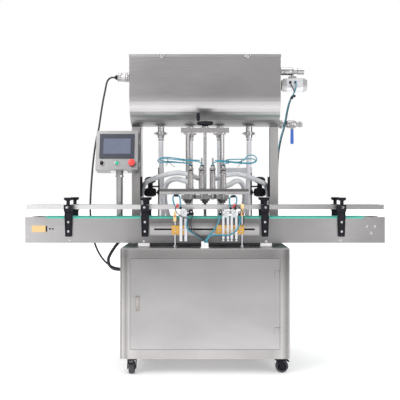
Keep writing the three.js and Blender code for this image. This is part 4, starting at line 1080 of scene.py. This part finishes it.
def make_hopper_parts():
    outlets = Shape()
    for x in OUTLET_XS:
        outlets.lathe([(19.5, 0), (19.5, 22), (24, 26), (28, 27), (28, 29), (0, 29)], (x, HOPPER_Y, 1310.9),
                      (0, 0, 1), 36)
        clamp_ring(outlets, (x, HOPPER_Y, 1338), UP, 30.5, LEFT)
        outlets.lathe([(19.6, 0), (19.6, 34), (24, 40), (24, 42)], (x, HOPPER_Y, 1345), UP, 36)
        hose_clip(outlets, (x, HOPPER_Y, 1300), UP)
    outlets.piece("outlet_clamps", ["polished"], bevel=0.4)
    pulls = Shape()
    for x in (-258, 251):
        pulls.lathe([(0, 0), (10, 0), (12, 2), (10, 4), (0, 4.6)], (x, 243.5, 1783), FRONT, 28)
        pulls.box(x - 21, x + 21, 235.6, 245.2, 1778.8, 1783.4)
        for side in (-1, 1):
            pulls.box(*sorted((x + side * 14.6, x + side * 20.6)), 235.6, 245.2, 1779, 1794.5)
    pulls.piece("lid_pulls", ["polished"], "lid", bevel=1.4)
    body = Shape()
    x = -450.3
    body.lathe([(0, 0), (24, 0), (24, 3), (17, 6), (17, 14), (27, 16), (29, 18), (29, 23), (26.5, 25.5),
                (29, 28), (29, 33), (27, 36)], (x, HOPPER_Y, 1685), LEFT, 40)
    body.lathe([(27, 36), (28.5, 38), (28.5, 60), (26, 64), (25, 66)], (x, HOPPER_Y, 1685), LEFT, 40)
    body.rod((x - 0.2, HOPPER_Y, 1685), (-390, HOPPER_Y, 1685), 6, 20)
    body.lathe([(0, 64), (25, 64), (27, 66), (27, 70), (25, 72), (25, 80), (27, 82), (27, 86), (20, 89),
                (0, 89)], (x, HOPPER_Y, 1685), LEFT, 40)
    body.paint = 1
    body.lathe([(0, 88), (14, 88), (15, 90), (15, 98), (11, 101), (11, 104), (8, 107), (0, 107)],
               (x, HOPPER_Y, 1685), LEFT, 32)
    body.piece("level_sensor_head", ["satin", "black"], bevel=0.4, replaces=["level_sensor"])
    make_inlet_valve()
    make_drain_valve()


def make_inlet_valve():
    x = 450.3
    z = 1722
    valve = Shape()
    valve.lathe([(0, 0), (24, 0), (24, 3), (16, 6), (15, 8), (15, 18), (18, 20), (23.6, 22), (23.6, 28)],
                (x, HOPPER_Y, z), RIGHT, 40)
    valve.lathe([(0, 28), (21, 28), (23.6, 32), (23.6, 80), (21, 86), (0, 86)], (x, HOPPER_Y, z), RIGHT, 40)
    valve.lathe([(0, 84), (15, 94), (15, 118), (19, 120), (19, 160), (0, 160)], (x, HOPPER_Y, z), RIGHT, 40)
    clamp_ring(valve, (x + 26, HOPPER_Y, z), RIGHT, 24)
    clamp_ring(valve, (x + 88, HOPPER_Y, z), RIGHT, 24)
    valve.lathe([(0, 0), (17, 0), (18, 3), (13, 8), (9.4, 16), (9.4, 42), (16, 44), (16, 52), (0, 52)],
                (540, HOPPER_Y, z - 2), DOWN, 32)
    valve.box(518, 562, HOPPER_Y - 20, HOPPER_Y + 20, 1676, 1690)
    valve.lathe([(9, 0), (17.5, 0), (17.5, 2), (16, 4), (9, 4)], (606, HOPPER_Y, z), RIGHT, 36, closed=True)
    valve.paint = 1
    outline = ((365, 1612), (370, 1601), (381, 1597), (425, 1597), (436, 1601), (441, 1612), (441, 1662),
               (436, 1673), (425, 1677), (381, 1677), (370, 1673), (365, 1662))
    valve.prism(outline, "x", 500, 600)
    valve.box(502, 598, 364.6, 366, 1618, 1630)
    valve.box(502, 598, 364.6, 366, 1644, 1656)
    valve.paint = 3
    cap = tuple((HOPPER_Y + (y - HOPPER_Y) * 0.94, 1637 + (z - 1637) * 0.94) for y, z in outline)
    neck = tuple((HOPPER_Y + (y - HOPPER_Y) * 0.8, 1637 + (z - 1637) * 0.8) for y, z in outline)
    for inner, middle, outer in ((501, 484, 473.3), (599, 616, 626.7)):
        valve.prism(cap, "x", *sorted((inner, middle)))
        valve.prism(neck, "x", *sorted((middle, outer)))
    valve.paint = 2
    for end, out in ((473.3, -1), (626.7, 1)):
        valve.lathe([(0, 0), (8, 0), (8, 0.3), (0, 0.3)], (end - out * 0.3, HOPPER_Y, 1637), (out, 0, 0),
                    24)
    for fit_x in (522, 554):
        valve.lathe([(0, 0), (8, 0), (8, 3), (5.5, 4), (5.5, 12), (4, 13), (0, 13)],
                    (fit_x, HOPPER_Y - 37.6, 1650), FRONT, 20)
    valve.piece("inlet_ball_valve", ["post", "aluminium", "black", "satin"], bevel=1.6,
                replaces=["inlet_valve"])


def make_drain_valve():
    x = 450.3
    z = 1395
    valve = Shape()
    valve.lathe([(0, 0), (22, 0), (22, 2), (16, 5), (16, 10), (24, 12), (24, 24), (16, 28), (16, 50),
                 (23, 56),
                 (24, 62), (24, 102), (22, 108), (16, 112), (16, 132), (19, 134), (19, 140), (16, 142),
                 (16, 150), (0, 150)], (x, HOPPER_Y, z), RIGHT, 40)
    clamp_ring(valve, (x + 19, HOPPER_Y, z), RIGHT, 25.5, FRONT)
    valve.rod((533, HOPPER_Y, z), (533, 375, z), 10, 28)
    valve.rod((533, 376, z), (533, 373, z), 13, 28)
    for flange in (x + 58, x + 104):
        for dy, dz in around(4, 20, math.pi / 4):
            valve.rod((flange - 3, HOPPER_Y + dy, z + dz), (flange + 3, HOPPER_Y + dy, z + dz), 3, 6)
    valve.piece("drain_ball_valve", ["post"], bevel=0.5, replaces=["drain_valve"])
    lever = Shape()
    arm = ((520.3, 1407), (524, 1408), (542, 1408), (545.7, 1407), (546, 1379), (543, 1368), (541.5, 1350),
           (524.5, 1350), (523, 1368), (520, 1379))
    lever.paint = 1
    lever.prism(arm, "y", 366.5, 371.5)
    lever.lathe([(0, 0), (9, 0), (9, 4), (6, 5.5), (0, 5.5)], (533, 366.6, z), FRONT, 6)
    lever.paint = 0
    sleeve = ((524, 1362), (542, 1362), (542, 1340), (543, 1290), (542.5, 1276), (538, 1271), (528, 1271),
              (523.5, 1276), (523, 1290), (524, 1340))
    lever.prism(sleeve, "y", 364.4, 372.4)
    lever.piece("drain_lever_sleeve", ["blue", "polished"], "lever", bevel=1.6, replaces=["drain_lever"])


# ---------------------------------------------------------------- lift and nozzles
SCREW_FOOT = 690
SCREW_LENGTH = 672
SCREW_LEAD = 20
SCREW_STARTS = 4
SCREW_RADIUS = 8.75  # half way up its threads
THREAD_DEPTH = 0.7


def make_lift():
    screw = Shape()
    sides, steps = 48, 539
    rings = []
    for k in range(steps + 1):
        z = SCREW_FOOT + 0.4 + SCREW_LENGTH * k / steps
        ring = []
        for i in range(sides):
            angle = 2 * math.pi * i / sides
            wave = math.cos(SCREW_STARTS * (angle - 2 * math.pi * (z - SCREW_FOOT) / SCREW_LEAD))
            radius = SCREW_RADIUS + THREAD_DEPTH * max(-1.0, min(1.0, 1.6 * wave))
            ring.append(screw.corner(radius * math.cos(angle), LIFT_Y + radius * math.sin(angle), z))
        rings.append(ring)
    screw.skin(rings)
    screw.face(rings[0][::-1])
    screw.face(rings[-1])
    screw.piece("lift_lead_screw", ["polished"], "screw", angle=50, replaces=["lift_screw"])
    wheel = Shape()
    wheel.lathe([(0, 0), (16, 0), (18, 4), (18, 13), (36, 14.5), (40, 12), (42, 8.5), (45, 8), (47.5, 10),
                 (48, 14), (48, 21), (46.5, 24), (42, 26.5), (38, 25), (16, 22), (13, 25), (12, 30),
                 (11, 31),
                 (0, 31)], (0, LIFT_Y, 1363), UP, 64)
    wheel.paint = 1
    wheel.lathe([(0, 30), (6, 30), (6, 31.2), (0, 31.2)], (0, LIFT_Y, 1363), UP, 24)
    wheel.rod((-40, LIFT_Y, 1386), (-40, LIFT_Y, 1434.8), 4, 20)
    wheel.piece("handwheel_disc", ["black", "polished"], "screw", replaces=["handwheel"])
    grip = Shape()
    grip.lathe([(4.8, 0), (7, 0), (8, 1.5), (8.6, 6), (10.4, 16), (10.5, 26), (9.8, 38), (8, 44), (5, 48.6),
                (0, 50)], (-40, LIFT_Y, 1393), UP, 36)
    grip.piece("crank_handle_grip", ["black"], "grip", replaces=["crank_grip"])
    collars = Shape()
    for x in (-100, 100):
        collars.lathe([(12.6, 0), (22, 0), (22, 8), (20, 10), (12.6, 10)], (x, LIFT_Y, 690), UP, 36,
                      closed=True)
        collars.lathe([(12.6, 0), (18, 0), (20, 2), (20, 8), (12.6, 8)], (x, LIFT_Y, 1315.8), UP, 36,
                      closed=True)
        collars.lathe([(0, 0), (8, 0), (8, 5), (6.8, 6), (0, 6)], (x, LIFT_Y, 1353), UP, 6)
    for x in (-128, 128):
        for y in (LIFT_Y - 12, LIFT_Y + 12):
            hex_bolt(collars, (x, y, 690), UP, 4.5, 3.4)
    collars.lathe([(10.6, 0), (26, 0), (26, 3), (18, 5), (18, 8.5), (10.6, 8.5)], (0, LIFT_Y, 1353), UP,
                  40, closed=True)
    collars.piece("lift_collars", ["polished"], bevel=0.4)
    bushes = Shape()
    for x, bore in ((-100, 13.3), (0, 10.4), (100, 13.3)):
        outer = bore + 7.4
        bushes.lathe([(bore, 0), (outer - 1, 0), (outer, 1), (outer, 12), (outer + 9.2, 12.6),
                      (outer + 9.2, 22.6),
                      (outer, 23.4), (outer, 74.4), (outer - 1.2, 75.4), (bore, 75.4)], (x, LIFT_Y, 914.8),
                     (0, 0, 1), 40, closed=True)
    for x in (-246, -196, -140, 150, 200, 238):
        bushes.lathe([(0, 0), (4, 0), (4, 2.6), (0, 2.6)], (x, 45.9, 973.5), FRONT, 20)
    # The carriage finish also paints its bands of light and shade on these bushes and washers.
    bushes.piece("carriage_bushes", ["carriage"], "carriage", bevel=0.4)
    for number, (x, port) in enumerate(zip(NOZZLE_XS, PORT_HEIGHTS), 1):
        make_nozzle(number, x, port)


def make_nozzle(number, x, port):
    head = Shape()
    base = (x, NOZZLE_Y, 935.8)
    head.lathe([(0, 0), (5.6, 0), (6.8, 1.2), (7, 6), (9.4, 13), (10, 16), (10, 61.5)], base, UP, 32)
    head.lathe([(0, 61.5), (16, 61.5), (17, 62.5), (17, 68), (16, 69), (16, 75), (15.2, 76), (15.2, 138),
                (16.4, 139), (16.4, 146), (15.4, 148)], base, UP, 36)
    head.lathe([(15.4, 148), (13, 150), (12, 150), (12, 188), (11, 190), (0, 190)], base, UP, 36)
    for side, reach in ((-1, 15), (1, 12.4)):
        head.rod((x + side * reach, NOZZLE_Y - 9, 998), (x + side * reach, NOZZLE_Y - 9, 1116), 2.6, 14)
    head.box(x - 19, x + 17, NOZZLE_Y - 15, NOZZLE_Y - 3, 1104, 1113)
    head.box(x - 18, x + 16, NOZZLE_Y - 14, NOZZLE_Y - 4, 1063, 1069)
    head.rod((x, NOZZLE_Y, port), (x, HOSE_END_Y - 0.3, port), 9.6, 28)
    head.lathe([(9.6, 0), (14, 0), (14, 2), (12.5, 4), (9.6, 4)], (x, NOZZLE_Y + 18, port), BACK, 28,
               closed=True)
    head.rod((x, NOZZLE_Y, 1126), (x, NOZZLE_Y, 1171.6), 4.6, 20)
    head.paint = 1
    head.lathe([(12, 0), (12.6, 0.6), (12.6, 9.4), (12, 10)], (x, NOZZLE_Y, 1098), UP, 32)
    head.lathe([(0, 0), (9, 0), (10, 1), (10, 7), (8, 9), (0, 9)], (x, NOZZLE_Y, 1124), UP, 28)
    head.paint = 2
    head.rod((x, NOZZLE_Y - 4, 1132), (x, NOZZLE_Y - 16.5, 1132), 4.2, 16)
    head.piece(f"nozzle_{number}_body", ["nozzle", "black", "tube"], "carriage", bevel=0.3,
               replaces=[f"nozzle_{number}"])


# ---------------------------------------------------------------- operator panel
PANEL = Matrix.Translation((-510, 195, 1212)) @ Matrix.Rotation(math.radians(-12), 4, "X")
FACE = -45
SWITCH_Z = -78


def make_panel():
    screen = Shape(PANEL)
    outer = ((-100.5, -51), (100.5, -51), (100.5, 96), (-100.5, 96))
    inner = ((-80, -24), (80, -24), (80, 70), (-80, 70))
    rings = []
    for corners, y in ((outer, FACE - 0.3), (outer, FACE - 6), (inner, FACE - 6), (inner, FACE - 4)):
        rings.append([screen.corner(x, y, z) for x, z in corners])
    screen.skin(rings)
    screen.face(rings[0])
    screen.paint = 1
    screen.box(-79.8, 79.8, FACE - 4.6, FACE - 2, -23.8, 69.8)
    screen.piece("touch_screen_face", ["bezel", "screen"], "panel", bevel=1.0, replaces=["touch_screen"])
    trim = Shape(PANEL)
    for x in (-85, 3, 88):
        trim.lathe([(11.8, 0), (16, 0), (16, 1.4), (14.8, 4.8), (13.4, 5.2), (11.8, 4.4)],
                   (x, FACE, SWITCH_Z),
                   (0, -1, 0), 40, closed=True)
    for side in (-1, 1):
        x = side * 122
        for z in (-70, 70):
            trim.rod((x, 30, z - 14), (x, 30, z + 14), 3.4, 16)
    trim.box(-40, 60, -30, 30, -118.5, -115.4)
    trim.piece("panel_trim", ["polished"], "panel", bevel=0.4)
    selector = Shape(PANEL)
    selector.lathe([(0, 14), (11, 14), (11, -6), (10.4, -7.6), (0, -8)], (-85, FACE, SWITCH_Z), BACK, 36)
    selector.prism(((-89, -89), (-87, -89.6), (-83, -89.6), (-81, -89), (-80.6, -67), (-83, -66.4),
                    (-87, -66.4),
                    (-89.4, -67)), "y", FACE - 19.8, FACE - 7)
    selector.paint = 1
    selector.box(-85.7, -84.3, FACE - 20, FACE - 19, -76, -67.4)
    selector.piece("selector_knob", ["black", "white"], "selector", bevel=0.9, replaces=["selector_switch"])
    start = Shape(PANEL)
    start.lathe([(0, 14), (11, 14), (11, -6.5), (10, -8.4), (8, -9), (0, -8.6)], (3, FACE, SWITCH_Z),
                BACK, 40)
    start.piece("start_push_button", ["green"], "start", replaces=["start_button"])
    stop = Shape(PANEL)
    stop.lathe([(0, 14), (11, 14), (11, -10.5), (17, -12), (19.6, -14.5), (20, -18), (19.2, -22), (16, -25),
                (9, -26), (0, -26)], (88, FACE, SWITCH_Z), BACK, 48)
    stop.piece("stop_mushroom_head", ["red"], "stop", replaces=["stop_button"])
    neck = Shape()
    neck.lathe([(19.2, 0), (24, 0), (24, 10), (19.2, 10)], (-500, 195, 1066), UP, 36, closed=True)
    neck.lathe([(19.2, 0), (22, 0), (22, 6), (19.2, 6)], (-500, 195, 826), UP, 36, closed=True)
    for z in (752, 808):
        hex_bolt(neck, (-478, 155.4, z), FRONT, 4, 3)
    neck.piece("post_collars", ["polished"], bevel=0.5)


# ---------------------------------------------------------------- door and cabinet fittings
def make_cabinet_parts():
    latch = Shape()
    front = -152.3
    latch.prism(((-370, 346), (-350, 346), (-349.5, 350), (-349.5, 418), (-352, 421), (-368, 421),
                 (-370.5, 418), (-370.5, 350)), "y", front - 4, front)
    latch.rod((-371, front - 4, 421), (-349, front - 4, 421), 4, 24)
    latch.rod((-366, front - 4, 352), (-354, front - 4, 352), 3, 20)
    latch.paint = 1
    latch.box(-366, -354, front - 4.8, front - 3.6, 372, 406)
    for z in (360, 412):
        latch.lathe([(0, 0), (3.6, 0), (3, 1.4), (0, 1.6)], (-360, front - 3.8, z), FRONT, 20)
    latch.piece("latch_handle", ["latch", "upright"], "latch", bevel=0.8, replaces=["door_latch"])
    plate = Shape()
    plate.box(-472, -450.5, 100, 240, 500, 556)
    plate.paint = 1
    for y, radius in ((150, 12), (195, 8.5)):
        plate.lathe([(0, 0), (radius + 6, 0), (radius + 6, 6), (radius + 3, 8), (radius + 3, 14),
                     (radius, 18),
                     (0, 18)], (-454, y, 530), LEFT, 24)
    plate.piece("cable_entry_plate", ["satin", "black"], bevel=0.8)


# ---------------------------------------------------------------- build
make_camera()
make_studio()
dress_cad()
make_cords()
make_conveyor()
make_stops()
make_supports()
make_casters()
make_hopper_parts()
make_lift()
make_panel()
make_cabinet_parts()
